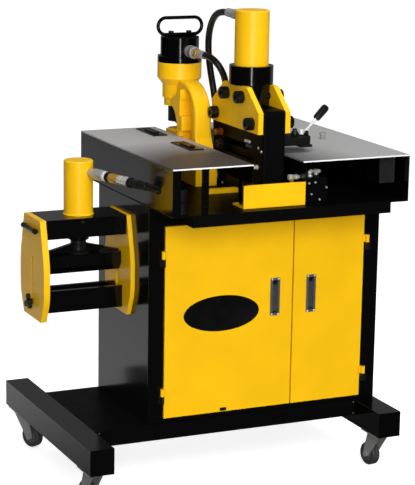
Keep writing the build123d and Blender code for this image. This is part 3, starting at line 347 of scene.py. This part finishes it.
def hose(name, points):
    """A round hose through the points of its route."""
    curve = bpy.data.curves.new(name, "CURVE")
    curve.dimensions = "3D"
    curve.bevel_depth = HOSE_DIAMETER / 2 * MM
    curve.bevel_resolution = 6
    curve.resolution_u = 12
    curve.use_fill_caps = True
    spline = curve.splines.new("NURBS")
    spline.points.add(len(points) - 1)
    for point, place in zip(spline.points, points):
        point.co = (*place, 1.0)
    spline.order_u = 3
    spline.use_endpoint_u = True
    piece = bpy.data.objects.new(name, curve)
    bpy.context.scene.collection.objects.link(piece)
    curve.materials.append(finishes["hose_rubber"])
    return piece


def make_hoses():
    for name in HOSE_ROUTES:
        points = [at(*place) for place in route(name)]
        piece = hose(name + "_rubber", points)
        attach(piece, "frame")
        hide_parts(name)


# Modelling tools
def clear_selection():
    bpy.ops.object.select_all(action="DESELECT")


def make_active(piece):
    clear_selection()
    piece.select_set(True)
    bpy.context.view_layer.objects.active = piece


@contextmanager
def editing(piece):
    """Edit mode on one piece, with all of it selected."""
    make_active(piece)
    bpy.ops.object.mode_set(mode="EDIT")
    bpy.ops.mesh.select_all(action="SELECT")
    yield
    bpy.ops.object.mode_set(mode="OBJECT")


def pick_faces(piece, test):
    """In edit mode, selects the faces whose middle, in millimetres, and normal pass a test."""
    mesh = bmesh.from_edit_mesh(piece.data)
    for face in mesh.faces:
        face.select_set(False)
    for face in mesh.faces:
        if test(face.calc_center_median() / MM, face.normal):
            face.select_set(True)
    bmesh.update_edit_mesh(piece.data)


def pick_edges(piece, test):
    """In edit mode, selects the edges whose middle, in millimetres, and way pass a test."""
    mesh = bmesh.from_edit_mesh(piece.data)
    for face in mesh.faces:
        face.select_set(False)
    for edge in mesh.edges:
        edge.select_set(False)
    for edge in mesh.edges:
        ends = [corner.co / MM for corner in edge.verts]
        way = (ends[1] - ends[0]).normalized()
        if test((ends[0] + ends[1]) / 2, way):
            edge.select_set(True)
    bpy.ops.mesh.select_mode(type="EDGE")
    bmesh.update_edit_mesh(piece.data)


def draw_out(height):
    """In edit mode, draws what is selected out along Z, in millimetres."""
    bpy.ops.mesh.extrude_region_move(TRANSFORM_OT_translate={"value": (0.0, 0.0, height * MM)})


def close_mesh():
    """In edit mode, merges what lies together and turns all faces outwards."""
    bpy.ops.mesh.select_all(action="SELECT")
    bpy.ops.mesh.remove_doubles(threshold=0.000001)
    bpy.ops.mesh.normals_make_consistent(inside=False)


def smooth(piece):
    """Smooths what is round and keeps edges sharp."""
    make_active(piece)
    bpy.ops.object.shade_smooth_by_angle(angle=radians(35))


def soften(piece, width, segments=2):
    """Breaks the sharp edges and smooths what is round."""
    make_active(piece)
    edge = piece.modifiers.new("edge", "BEVEL")
    edge.width = width * MM
    edge.segments = segments
    edge.limit_method = "ANGLE"
    bpy.ops.object.modifier_apply(modifier=edge.name)
    smooth(piece)


def turned(name, profile, sides=32, soft=0.3):
    """A piece turned on Z: a face with these sides, drawn out and sized step by step as (radius, height)."""
    clear_selection()
    radius, low = profile[0]
    bpy.ops.mesh.primitive_circle_add(vertices=sides, radius=radius * MM, fill_type="NGON",
                                      location=(0.0, 0.0, low * MM))
    piece = bpy.context.object
    piece.name = name
    bpy.ops.object.transform_apply()
    with editing(piece):
        for wide, high in profile[1:]:
            draw_out(high - low)
            share = wide / radius
            bpy.ops.transform.resize(value=(share, share, 1.0), center_override=(0.0, 0.0, high * MM))
            radius, low = wide, high
        close_mesh()
    soften(piece, soft)
    return piece


def block(name, size, soft=0.4):
    """A block on the floor plane, sized from a cube, with its edges broken."""
    clear_selection()
    middle = (0.0, 0.0, size[2] / 2 * MM)
    bpy.ops.mesh.primitive_cube_add(size=MM, location=middle)
    piece = bpy.context.object
    piece.name = name
    bpy.ops.object.transform_apply()
    with editing(piece):
        bpy.ops.transform.resize(value=size, center_override=middle)
    if soft:
        soften(piece, soft)
    return piece


def knurl(piece, low, high, depth):
    """Presses a dimple into each side face between two heights."""
    with editing(piece):
        pick_faces(piece, lambda middle, normal: abs(normal.z) < 0.1 and low < middle.z < high)
        bpy.ops.mesh.inset(thickness=depth / 3 * MM, depth=-depth * MM, use_individual=True)


def carve(piece, tool):
    """Cuts one piece with another, which is used up."""
    make_active(piece)
    cut = piece.modifiers.new("cut", "BOOLEAN")
    cut.operation = "DIFFERENCE"
    cut.solver = "EXACT"
    cut.object = tool
    bpy.ops.object.modifier_apply(modifier=cut.name)
    bpy.data.objects.remove(tool)
    smooth(piece)


def twin_of(piece):
    """A copy with its own mesh."""
    twin = piece.copy()
    twin.data = piece.data.copy()
    bpy.context.scene.collection.objects.link(twin)
    return twin


def stand(piece, start, way=UP):
    """Turns a piece from Z to its way and puts its foot at a point of the drawing."""
    turn = Vector(UP).rotation_difference(Vector(way).normalized()).to_matrix().to_4x4()
    piece.matrix_world = Matrix.Translation(at(*start)) @ turn
    make_active(piece)
    bpy.ops.object.transform_apply(location=True, rotation=True, scale=True)
    return piece


def copies(piece, starts, way=UP):
    """The same piece at several places, joined to one."""
    made = [stand(twin_of(piece), start, way) for start in starts]
    bpy.data.objects.remove(piece)
    return joined(made)


def joined(pieces):
    clear_selection()
    for piece in pieces:
        piece.select_set(True)
    bpy.context.view_layer.objects.active = pieces[0]
    bpy.ops.object.join()
    return pieces[0]


def dress(piece, finish, body="frame", stands_for=None):
    """Gives a piece its finish and the body it rides on, and hides the solid it stands for."""
    piece.data.materials.clear()
    piece.data.materials.append(finishes[finish])
    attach(piece, body)
    if stands_for:
        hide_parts(stands_for)


# Shear: socket screws, and small fittings on its left face
def make_socket_screws():
    profile = ((7, -26), (7, 0), (12.4, 0), (13.5, 1.0), (13.5, 16.6), (12.2, 18.0))
    screw = turned("socket_screw", profile, 36, 0.25)
    knurl(screw, 1.5, 16.0, 0.45)
    carve(screw, turned("socket", ((6.5, 9.0), (6.5, 19.0)), 6, 0.05))
    spots = [(SHEAR_Y + side * 38, SHEAR_NECK_TOP - 23) for side in (-1, 1)]
    spots += [(SHEAR_Y + side * 91, SHEAR_BODY_TOP - 29) for side in (-1, 1)]
    twin = twin_of(screw)
    left = copies(screw, [(SHEAR_LEFT - SIDE_PLATE, y, z) for y, z in spots], LEFT)
    right = copies(twin, [(SHEAR_RIGHT + SIDE_PLATE, y, z) for y, z in spots], RIGHT)
    screws = joined([left, right])
    screws.name = "shear_socket_screws"
    dress(screws, "screw_black", stands_for="shear_screws")


def make_shear_fittings():
    union = turned("feed_union", ((9, 0), (9, 6), (6, 6), (6, 11), (7.5, 11), (7.5, 17), (4, 17)), 6)
    dress(stand(union, (SHEAR_LEFT, 172, 749), LEFT), "copper")
    plug = turned("port_plug", ((11, 0), (11, 5), (8.5, 6), (8.5, 13), (4.5, 13), (4.5, 9)), 24)
    dress(stand(plug, (SHEAR_LEFT, 171, 722), LEFT), "dark_steel")
    swivel_foot = (SHEAR_LEFT, 184, 649)
    swivel = turned("swivel_end", ((10, 0), (10, 8), (13, 8), (13, 20), (8, 20), (8, 14)), 32)
    dress(stand(swivel, swivel_foot, LEFT), "dark_steel")
    band = turned("swivel_band", ((13.1, 9), (13.9, 9.6), (13.9, 13), (13.1, 13.6)), 40)
    dress(stand(band, swivel_foot, LEFT), "brass")
    stud = turned("face_stud", ((6, 0), (6, 3), (4, 3), (4, 9), (3, 10.5)), 6)
    dress(stand(stud, (SHEAR_LEFT, -12, 699), LEFT), "nickel")
    screw = turned("face_screw", DOME, 16, 0.15)
    spots = [(SHEAR_LEFT, y, z) for y, z in ((-15, 741), (-30, 735), (165, 634))]
    dress(copies(screw, spots, LEFT), "nickel")
    # Spring clip: a plate whose two ends are drawn out
    clip = block("spring_clip", (6, 24, 1.2), 0.25)
    with editing(clip):
        bpy.ops.mesh.subdivide(number_cuts=3)
        pick_faces(clip, lambda middle, normal: normal.z > 0.9 and abs(middle.y) > 6.5)
        draw_out(3.0)
    dress(stand(clip, (SHEAR_LEFT, 37, 748), LEFT), "nickel")


# Clamp: lever with its grip, stem cap, arm with cheeks and pin, and nut
def make_clamp():
    cam_middle = (CAM_X, CLAMP_Y, CAM_Z)
    tilt = radians(CLAMP_TILT)
    along = (cos(tilt), 0, sin(tilt))
    rod = turned("clamp_rod", ((4.2, 2), (5, 3), (5, 7), (3, 9), (3, 38), (3.6, 38)), 24, 0.2)
    stand(rod, cam_middle, along)
    cam = turned("clamp_cam", ((3.8, -6), (4.5, -5.2), (4.5, 5.2), (3.8, 6)), 32, 0.2)
    stand(cam, cam_middle, BACK)
    dress(joined([rod, cam]), "chrome", "clamp_lever", "clamp_lever")
    profile = ((5.4, 37), (7.6, 38.4), (8.4, 42), (8.8, 56), (8.8, 68), (8.2, 72), (6.2, 74.6), (4, 75.4))
    grip = turned("clamp_grip", profile, 32, 0.4)
    dress(stand(grip, cam_middle, along), "black_plastic", "clamp_lever")
    cap = turned("stem_cap", ((4.1, 3.6), (5.2, 3.6), (5.2, 9), (4.6, 10.5), (4.6, 14), (3.4, 15)), 24, 0.2)
    dress(stand(cap, (CAM_X - 15, CLAMP_Y - 12, CLAMP_TOP)), "chrome", "clamp_pad")
    length, _, height = CLAMP_ARM
    arm = block("clamp_bar", CLAMP_ARM, 0)
    with editing(arm):
        pick_edges(arm, lambda middle, way: abs(way.z) > 0.9 and middle.x > length / 2 - 0.5)
        bpy.ops.mesh.bevel(offset=CLAMP_ROUND * MM, segments=10, affect="EDGES")
        close_mesh()
    soften(arm, 1.6, 3)
    stand(arm, (SHEAR_RIGHT + length / 2, CLAMP_Y, CLAMP_TOP - height))
    cheek = block("clamp_cheek", (8, 4, 6.5), 0.5)
    cheeks = copies(cheek, [(CAM_X, CLAMP_Y + side * 8.3, CLAMP_TOP - 0.5) for side in (-1, 1)])
    profile = ((3.6, -10.6), (4, -10), (4, -6.4), (2, -6.3), (2, 6.3), (4, 6.4), (4, 10), (3.6, 10.6))
    pin = turned("cam_pin", profile, 24, 0.2)
    stand(pin, cam_middle, BACK)
    dress(joined([arm, cheeks, pin]), "black_oxide", stands_for="clamp_arm")
    nut = turned("clamp_nut", ((7.4, 0), (7.4, 10), (5.2, 10), (5.2, 15), (4, 16)), 6, 0.4)
    dress(stand(nut, (CAM_X - 28, CLAMP_Y - 6, CLAMP_TOP)), "dark_steel")


# Hose ends: what joins the hoses to the cylinders and the deck
def make_hose_ends():
    shear, punch, bender = [[Vector(place) for place in route(name)] for name in HOSE_ROUTES]
    # Punch coupler from the hose to the cap
    coupler_foot = (213, 208.8, DECK_TOP + 290)
    profile = ((8.2, -10), (8.8, -9), (8.8, 2), (9.3, 2), (9.3, 5), (8.6, 5), (8.6, 9), (9.3, 9), (9.3, 12),
               (8.6, 12), (8.6, 22))
    crimp = turned("punch_crimp", profile, 32, 0.2)
    dress(stand(crimp, coupler_foot, BACK), "worn_zinc", stands_for="hose_fittings")
    hexagon = turned("punch_hexagon", ((9, 20), (11.2, 20.5), (11.2, 32), (9.5, 33), (9.5, 46)), 6, 0.4)
    dress(stand(hexagon, coupler_foot, BACK), "brass")
    profile = ((11.5, 42), (13.6, 43.5), (14, 45), (14, 66), (12.8, 67), (12.8, 79))
    ring = turned("punch_coupler_ring", profile, 48, 0.2)
    knurl(ring, 46.0, 65.5, 0.5)
    dress(stand(ring, coupler_foot, BACK), "worn_zinc")
    # Shear port from the cylinder to the hose
    profile = ((8.3, -16), (9.6, -15), (9.6, -6), (8.8, -6), (8.8, -3), (9.8, -3), (9.8, 4), (8.6, 4),
               (8.6, 9), (11, 9), (11, 24))
    port = turned("shear_port", profile, 32, 0.2)
    dress(stand(port, shear[0], shear[0] - shear[1]), "worn_zinc")
    # Bender coupler: sleeve, nickel ring, brass hexagon, dark ring, bright ring and the large nut
    links = (
        ("bender_sleeve", "black_plastic", 32, (
            (8.4, -14), (9.2, -13), (9.2, 4), (9.9, 4), (9.9, 16), (9.2, 16), (9.2, 26), (11.2, 27),
            (11.2, 36), (8, 37), (8, 40))),
        ("bender_nickel_ring", "nickel", 8, (
            (8, 38.5), (10, 39), (10.8, 41), (10.8, 50), (9.4, 51), (9.4, 54), (10.4, 55), (10.4, 65))),
        ("bender_brass", "brass", 6, ((8.5, 64.5), (10.8, 65.5), (10.8, 89), (9, 90), (9, 92))),
        ("bender_dark_ring", "dark_steel", 40, ((9, 91.5), (11.4, 92), (11.4, 97), (9.5, 98), (9.5, 100))),
        ("bender_bright_ring", "chrome", 40, ((9, 99.5), (11.2, 100), (11.2, 105), (9.5, 106), (9.5, 107))),
        ("bender_nut", "worn_zinc", 6, (
            (9, 106.5), (12.2, 107.5), (12.7, 112), (12.7, 136), (11.5, 141), (10, 143), (10, 152))),
    )
    run = bender[0] - bender[1]
    for name, finish, sides, profile in links:
        dress(stand(turned(name, profile, sides, 0.25), bender[0], run), finish)
    # Bulkheads in the deck, and the post where the short hose ends
    nut = turned("deck_bulkhead", ((12, 0), (12, 6.5), (9, 6.5), (9, 10)), 6, 0.4)
    dress(copies(nut, [(end.x, end.y, DECK_TOP) for end in (shear[-1], punch[-1])]), "worn_zinc")
    profile = ((12, 0), (12, 4), (9.5, 5), (9.5, 26), (12, 28), (12, 52), (10.5, 54))
    post = turned("hose_post", profile, 32, 0.4)
    centre = bender[-1] - run.normalized() * 12.8
    dress(stand(post, (centre.x, centre.y, DECK_TOP)), "black_oxide")


# Tables: framed inserts, the stop pin and bright screws
def make_table_fittings():
    rim = block("table_insert", (34, 106, 3), 0.8)
    with editing(rim):
        pick_faces(rim, lambda middle, normal: normal.z > 0.95 and abs(middle.x) < 10 and abs(middle.y) < 40)
        bpy.ops.mesh.inset(thickness=5 * MM, depth=-1.6 * MM)
    pad = block("insert_pad", (15, 52, 5.4), 0.8)
    with editing(pad):
        pick_faces(pad, lambda middle, normal: normal.z > 0.95)
        bpy.ops.mesh.inset(thickness=1.6 * MM, depth=-0.8 * MM)
    stand(pad, (*DRAWING_MIDDLE, 0.4))
    stand(rim, (*DRAWING_MIDDLE, 0))
    inserts = copies(joined([rim, pad]), [(143, y, TABLE_TOP) for y in (129, 331)])
    dress(inserts, "black_plastic", stands_for="table_inserts")
    pin = turned("stop_pin", ((6, 0), (6, 9), (7.6, 10), (7.6, 14), (6.8, 15), (4.8, 15), (4.8, 8)), 32, 0.2)
    dress(stand(pin, (475, 122, TABLE_TOP)), "worn_zinc")
    screw = turned("bar_screw", ((2.1, 0), (2.1, 1.1), (1.3, 1.55)), 16, 0.1)
    spots = [(x, BAR_SCREW_FOOT, z) for x, z in ((73.8, 658), (73.8, 645), (73.8, 634), (76, 690))]
    dress(copies(screw, spots, FRONT), "chrome")
    screw = turned("box_screw", DOME, 16, 0.15)
    spots = [(BAY_SCREW_FOOT, y, 640) for y in (40, 200, 330)]
    dress(copies(screw, spots, RIGHT), "nickel")


# Right table bay: fittings on the valve block and the tee behind the guard
def make_valve_fittings():
    profile = ((6.5, 0), (6.5, 3), (4, 3), (4, 6), (5.4, 6), (5.4, 12), (3.4, 13))
    union = turned("valve_union", profile, 6, 0.3)
    dress(copies(union, ((350, -58, VALVE_TOP), (374, -40, VALVE_TOP))), "nickel")
    profile = ((3, 0), (4.6, 1), (4.6, 6), (3.2, 7), (3.2, 21), (4.6, 22), (4.6, 27), (3, 28))
    cross = turned("valve_cross", profile, 8, 0.2)
    dress(stand(cross, (349, -58, VALVE_TOP + 12), (1, 0.15, -0.08)), "nickel")
    screw = turned("valve_screw", ((2.6, 0), (2.6, 2), (1.8, 2), (1.8, 4), (1.2, 4.6)), 6, 0.2)
    spots = [(x, VALVE_FRONT, z) for x, z in ((340, 669), (355, 670), (346, 645), (366, 632), (382, 658))]
    dress(copies(screw, spots, FRONT), "nickel")
    tee_x, tee_y = 305, -62
    stem = turned("tee_stem", ((7, 0), (7, 5), (4.5, 6), (4.5, 46), (6.5, 47), (6.5, 54)), 24, 0.3)
    dress(stand(stem, (tee_x, tee_y, DECK_TOP + 4)), "brass")
    profile = ((5, -9), (6.5, -8), (6.5, 2), (5, 3), (5, 8), (6, 8), (6, 12), (4.4, 12), (4.4, 17))
    bar = turned("tee_bar", profile, 20, 0.3)
    dress(stand(bar, (tee_x, tee_y, DECK_TOP + 55), RIGHT), "nickel")


# Bender: ringed rod, weld at the cylinder's foot, screw, keeper rod and knob
def make_bender_fittings():
    x, y = BENDER_X, BENDER_Y
    steps = [(24, 0), (24, 3), (19, 5)]
    for ring in range(5):
        low = 5.5 + 5 * ring
        steps += [(16.2, low), (17.2, low + 0.8), (17.2, low + 3.2), (16.2, low + 4.0)]
    rings = turned("rod_rings", steps, 40, 0.2)
    dress(stand(rings, (x, y, PRESS_TOP)), "dark_steel", "bender_ram")
    weld = turned("foot_weld", ((32, 0), (34.2, 0.3), (33.4, 1.8), (32.2, 4.2)), 64, 0.2)
    dress(stand(weld, (x, y, BENDER_TOP)), "yellow_coat")
    screw = turned("beam_screw", ((4.2, 0), (4.2, 2), (3.2, 2.6), (1.8, 2.6), (1.8, 1.4)), 18, 0.15)
    dress(stand(screw, (x - 8.5, y - 51, BENDER_TOP - 8), FRONT), "dark_steel")
    profile = ((2.5, -43.5), (4.8, -42), (6, -39), (6, -33), (5, -32), (5, 32), (6, 33), (6, 39), (4.8, 42),
               (2.5, 43.5))
    keeper = turned("keeper_rod", profile, 24, 0.3)
    stand(keeper, (BENDER_FACE - 6.2, y, KEEPER_Z), BACK)
    stud = turned("keeper_stud", ((4, 0), (4, 2), (3, 2.5), (3, 7)), 16, 0.2)
    studs = copies(stud, [(BENDER_FACE, y + side * 36, KEEPER_Z) for side in (-1, 1)], LEFT)
    dress(joined([keeper, studs]), "dark_steel", stands_for="keeper_bar")
    hub = turned("stop_hub", ((6.4, 0), (7, 0.8), (7, 11.5), (5.2, 13.1)), 32, 0.3)
    stand(hub, (BENDER_FACE - 0.3, y, STOP_Z), LEFT)
    lobe = turned("stop_lobe", ((5.2, 0), (6.5, 1.2), (6.5, 6.8), (5.2, 8.4), (3, 9)), 24, 0.3)
    spots = []
    for angle in (radians(90), radians(210), radians(330)):
        spots.append((BENDER_FACE - 5, y + KNOB_CIRCLE * cos(angle), STOP_Z + KNOB_CIRCLE * sin(angle)))
    knob = joined([hub, copies(lobe, spots, LEFT)])
    dress(knob, "black_plastic", "stop_knob", "stop_knob")


# Cabinet: oval plate, door catch, locks, rivets and screws
def make_cabinet_fittings():
    wide = OVAL_HALF_WIDTH
    profile = ((wide - 1, 0), (wide, 0.7), (wide, 1.1), (wide - 1.5, 1.8), (wide - 4, 1.8), (wide - 5.1, 1.2))
    plate = turned("oval_plate", profile, 96, 0.2)
    with editing(plate):
        bpy.ops.transform.resize(value=(1.0, OVAL_HALF_HEIGHT / wide, 1.0), center_override=(0.0, 0.0, 0.0))
    dress(stand(plate, (172.5, DOOR_FRONT, 378), FRONT), "oval_black", "left_door")
    catch = block("door_catch", (15, 7, 3), 0.7)
    dress(stand(catch, (180, DOOR_FRONT, 159), FRONT), "black_plastic", "left_door")
    for side, x in LOCK_X.items():
        profile = ((4.6, 0), (4.6, 9.4), (3.9, 10), (3.1, 10), (3.1, 8.8))
        barrel = turned(side + "_key_barrel", profile, 32, 0.15)
        slot = block("key_slot", (0.9, 4.2, 4), 0.05)
        stand(slot, (*DRAWING_MIDDLE, 7))
        carve(barrel, slot)
        dress(stand(barrel, (x, LOCK_FLOOR, LOCK_Z + 32), FRONT), "black_plastic", side + "_door")
        screw = turned(side + "_lock_screws", ((2.3, 0), (2.3, 0.5), (1.6, 1.0)), 16, 0.1)
        spots = [(x + along, LOCK_FRONT, LOCK_Z + up) for along in (-8, 8) for up in (-39.9, 39.9)]
        dress(copies(screw, spots, FRONT), "chrome", side + "_door")
    rivet = turned("tray_rivet", ((2.0, 0), (2.0, 0.6), (1.5, 1.3), (0.6, 1.6)), 20, 0.1)
    spots = [(x, TRAY_FRONT, z) for x in (507, -114) for z in (112, 138)]
    dress(copies(rivet, spots, FRONT), "hub_grey")
    screw = turned("back_screw", DOME, 20, 0.15)
    spots = [(x, CABINET_BACK, z) for x in (18, 190, 370, 542) for z in (166, 602)]
    dress(copies(screw, spots, BACK), "nickel")


# Casters: grooved tyres and hubs
def make_wheels():
    rim, groove = WHEEL_RADIUS, WHEEL_RADIUS - 0.7
    tyre_profile = ((16.5, -8.4), (17.4, -9.8), (23.4, -9.8), (rim, -7.2), (rim, -2.0), (groove, -1.4),
                    (groove, 1.4), (rim, 2.0), (rim, 7.2), (23.4, 9.8), (17.4, 9.8), (16.5, 8.4))
    hub_profile = ((6.5, -10), (8, -9.6), (8, -8.9), (14.5, -8.7), (16, -8.5), (16, 8.5), (14.5, 8.7),
                   (8, 8.9), (8, 9.6), (6.5, 10))
    for corner, (x, y, turn) in CASTERS.items():
        angle = radians(turn)
        axle = (x - CASTER_TRAIL * sin(angle), y + CASTER_TRAIL * cos(angle), WHEEL_RADIUS)
        way = (cos(angle), sin(angle), 0)
        wheel = "wheel_" + corner
        tyre = turned("tyre_" + corner, tyre_profile, 64, 0.4)
        dress(stand(tyre, axle, way), "tyre_grey", wheel, "caster_" + wheel)
        hub = turned("hub_" + corner, hub_profile, 48, 0.2)
        dress(stand(hub, axle, way), "hub_grey", wheel)


# Camera, floor and light
def set_camera():
    yaw, pitch, roll = radians(CAMERA_YAW), radians(CAMERA_PITCH), radians(CAMERA_ROLL)
    ahead = Vector((sin(yaw) * cos(pitch), cos(yaw) * cos(pitch), -sin(pitch)))
    right = Vector((cos(yaw), -sin(yaw), 0.0))
    down = ahead.cross(right)
    turned_right = cos(roll) * right + sin(roll) * down
    turned_down = cos(roll) * down - sin(roll) * right
    data = bpy.data.cameras.new("camera")
    data.lens = CAMERA_LENS
    data.sensor_width = CAMERA_SENSOR
    camera = bpy.data.objects.new("camera", data)
    bpy.context.scene.collection.objects.link(camera)
    turn = Matrix((turned_right, -turned_down, -ahead)).transposed().to_4x4()
    camera.matrix_world = Matrix.Translation(at(*CAMERA_PLACE)) @ turn
    bpy.context.scene.camera = camera


def make_floor():
    """A pale floor. What it throws back is paper that is dark in front and ends to the left."""
    clear_selection()
    bpy.ops.mesh.primitive_plane_add(size=FLOOR_SIZE, location=(0.0, 0.0, FLOOR_HEIGHT))
    floor = bpy.context.object
    floor.name = "floor"
    paint = Finish("floor_paint", (0.9, 0.9, 0.9), 0.9)
    parts = paint.node("ShaderNodeSeparateXYZ")
    paint.join(paint.place, parts.inputs["Vector"])
    back = paint.node("ShaderNodeMapRange", From_Min=-0.3, From_Max=0.65, To_Min=0.02, To_Max=0.75)
    paint.join(parts.outputs["Y"], back.inputs["Value"])
    inward = paint.node("ShaderNodeMapRange", From_Min=-2.7, From_Max=-1.9)
    paint.join(parts.outputs["X"], inward.inputs["Value"])
    paper = paint.node("ShaderNodeMath")
    paper.operation = "MULTIPLY"
    paint.join(back.outputs["Result"], paper.inputs[0])
    paint.join(inward.outputs["Result"], paper.inputs[1])
    reflected = paint.node("ShaderNodeBsdfDiffuse")
    paint.join(paper.outputs["Value"], reflected.inputs["Color"])
    pale = paint.node("ShaderNodeBsdfDiffuse", Color=(0.9, 0.9, 0.9, 1.0))
    glow = paint.node("ShaderNodeEmission", Strength=0.72)
    bright = paint.node("ShaderNodeAddShader")
    paint.join(pale.outputs["BSDF"], bright.inputs[0])
    paint.join(glow.outputs["Emission"], bright.inputs[1])
    seen = paint.node("ShaderNodeLightPath")
    mix = paint.node("ShaderNodeMixShader")
    paint.join(seen.outputs["Is Camera Ray"], mix.inputs["Fac"])
    paint.join(reflected.outputs["BSDF"], mix.inputs[1])
    paint.join(bright.outputs["Shader"], mix.inputs[2])
    paint.join(mix.outputs["Shader"], paint.tree.nodes["Material Output"].inputs["Surface"])
    floor.data.materials.append(paint.material)


def set_sky():
    """A white sky that lights softly. Shiny faces see it bright behind the machine and dark in front."""
    world = bpy.data.worlds.new("sky")
    bpy.context.scene.world = world
    world.use_nodes = True
    tree = world.node_tree
    join = tree.links.new
    soft = tree.nodes["Background"]
    soft.inputs["Color"].default_value = WHITE
    soft.inputs["Strength"].default_value = 0.34
    white = add_node(tree, "ShaderNodeBackground", Color=WHITE)
    way = add_node(tree, "ShaderNodeTexCoord")
    parts = add_node(tree, "ShaderNodeSeparateXYZ")
    join(way.outputs["Generated"], parts.inputs["Vector"])
    spread = add_node(tree, "ShaderNodeMapRange", From_Min=0.2, From_Max=0.8, To_Min=0.006, To_Max=0.17)
    join(parts.outputs["Y"], spread.inputs["Value"])
    studio = add_node(tree, "ShaderNodeBackground", Color=WHITE)
    join(spread.outputs["Result"], studio.inputs["Strength"])
    ray = add_node(tree, "ShaderNodeLightPath")
    shiny = add_node(tree, "ShaderNodeMixShader")
    join(ray.outputs["Is Glossy Ray"], shiny.inputs["Fac"])
    join(soft.outputs["Background"], shiny.inputs[1])
    join(studio.outputs["Background"], shiny.inputs[2])
    seen = add_node(tree, "ShaderNodeMixShader")
    join(ray.outputs["Is Camera Ray"], seen.inputs["Fac"])
    join(shiny.outputs["Shader"], seen.inputs[1])
    join(white.outputs["Background"], seen.inputs[2])
    join(seen.outputs["Shader"], tree.nodes["World Output"].inputs["Surface"])


def panel_light(name, place, width, power, height=None, glossy=True, diffuse=True):
    """A square or upright panel that may be left out of reflections or of soft light."""
    data = bpy.data.lights.new(name, "AREA")
    data.size = width
    if height:
        data.shape = "RECTANGLE"
        data.size_y = height
    data.energy = power
    light = bpy.data.objects.new(name, data)
    light.visible_glossy = glossy
    light.visible_diffuse = diffuse
    bpy.context.scene.collection.objects.link(light)
    light.location = place
    aim = Vector(LIGHT_AIM) - Vector(place)
    light.rotation_euler = aim.to_track_quat("-Z", "Y").to_euler()


def set_stage():
    make_floor()
    set_sky()
    panel_light("front_light", (-0.7, -3.4, 1.3), 2.8, 138.0, glossy=False)
    panel_light("top_light", (0.2, -0.4, 3.2), 2.2, 40.0, glossy=False)
    panel_light("strip_light", (-1.1, -2.9, 1.0), 0.2, 22.0, height=1.9, diffuse=False)


bpy.context.scene.view_settings.view_transform = "Standard"
paint_solids()
set_camera()
make_hoses()
make_hose_ends()
make_socket_screws()
make_shear_fittings()
make_clamp()
make_table_fittings()
make_valve_fittings()
make_bender_fittings()
make_cabinet_fittings()
make_wheels()
set_stage()
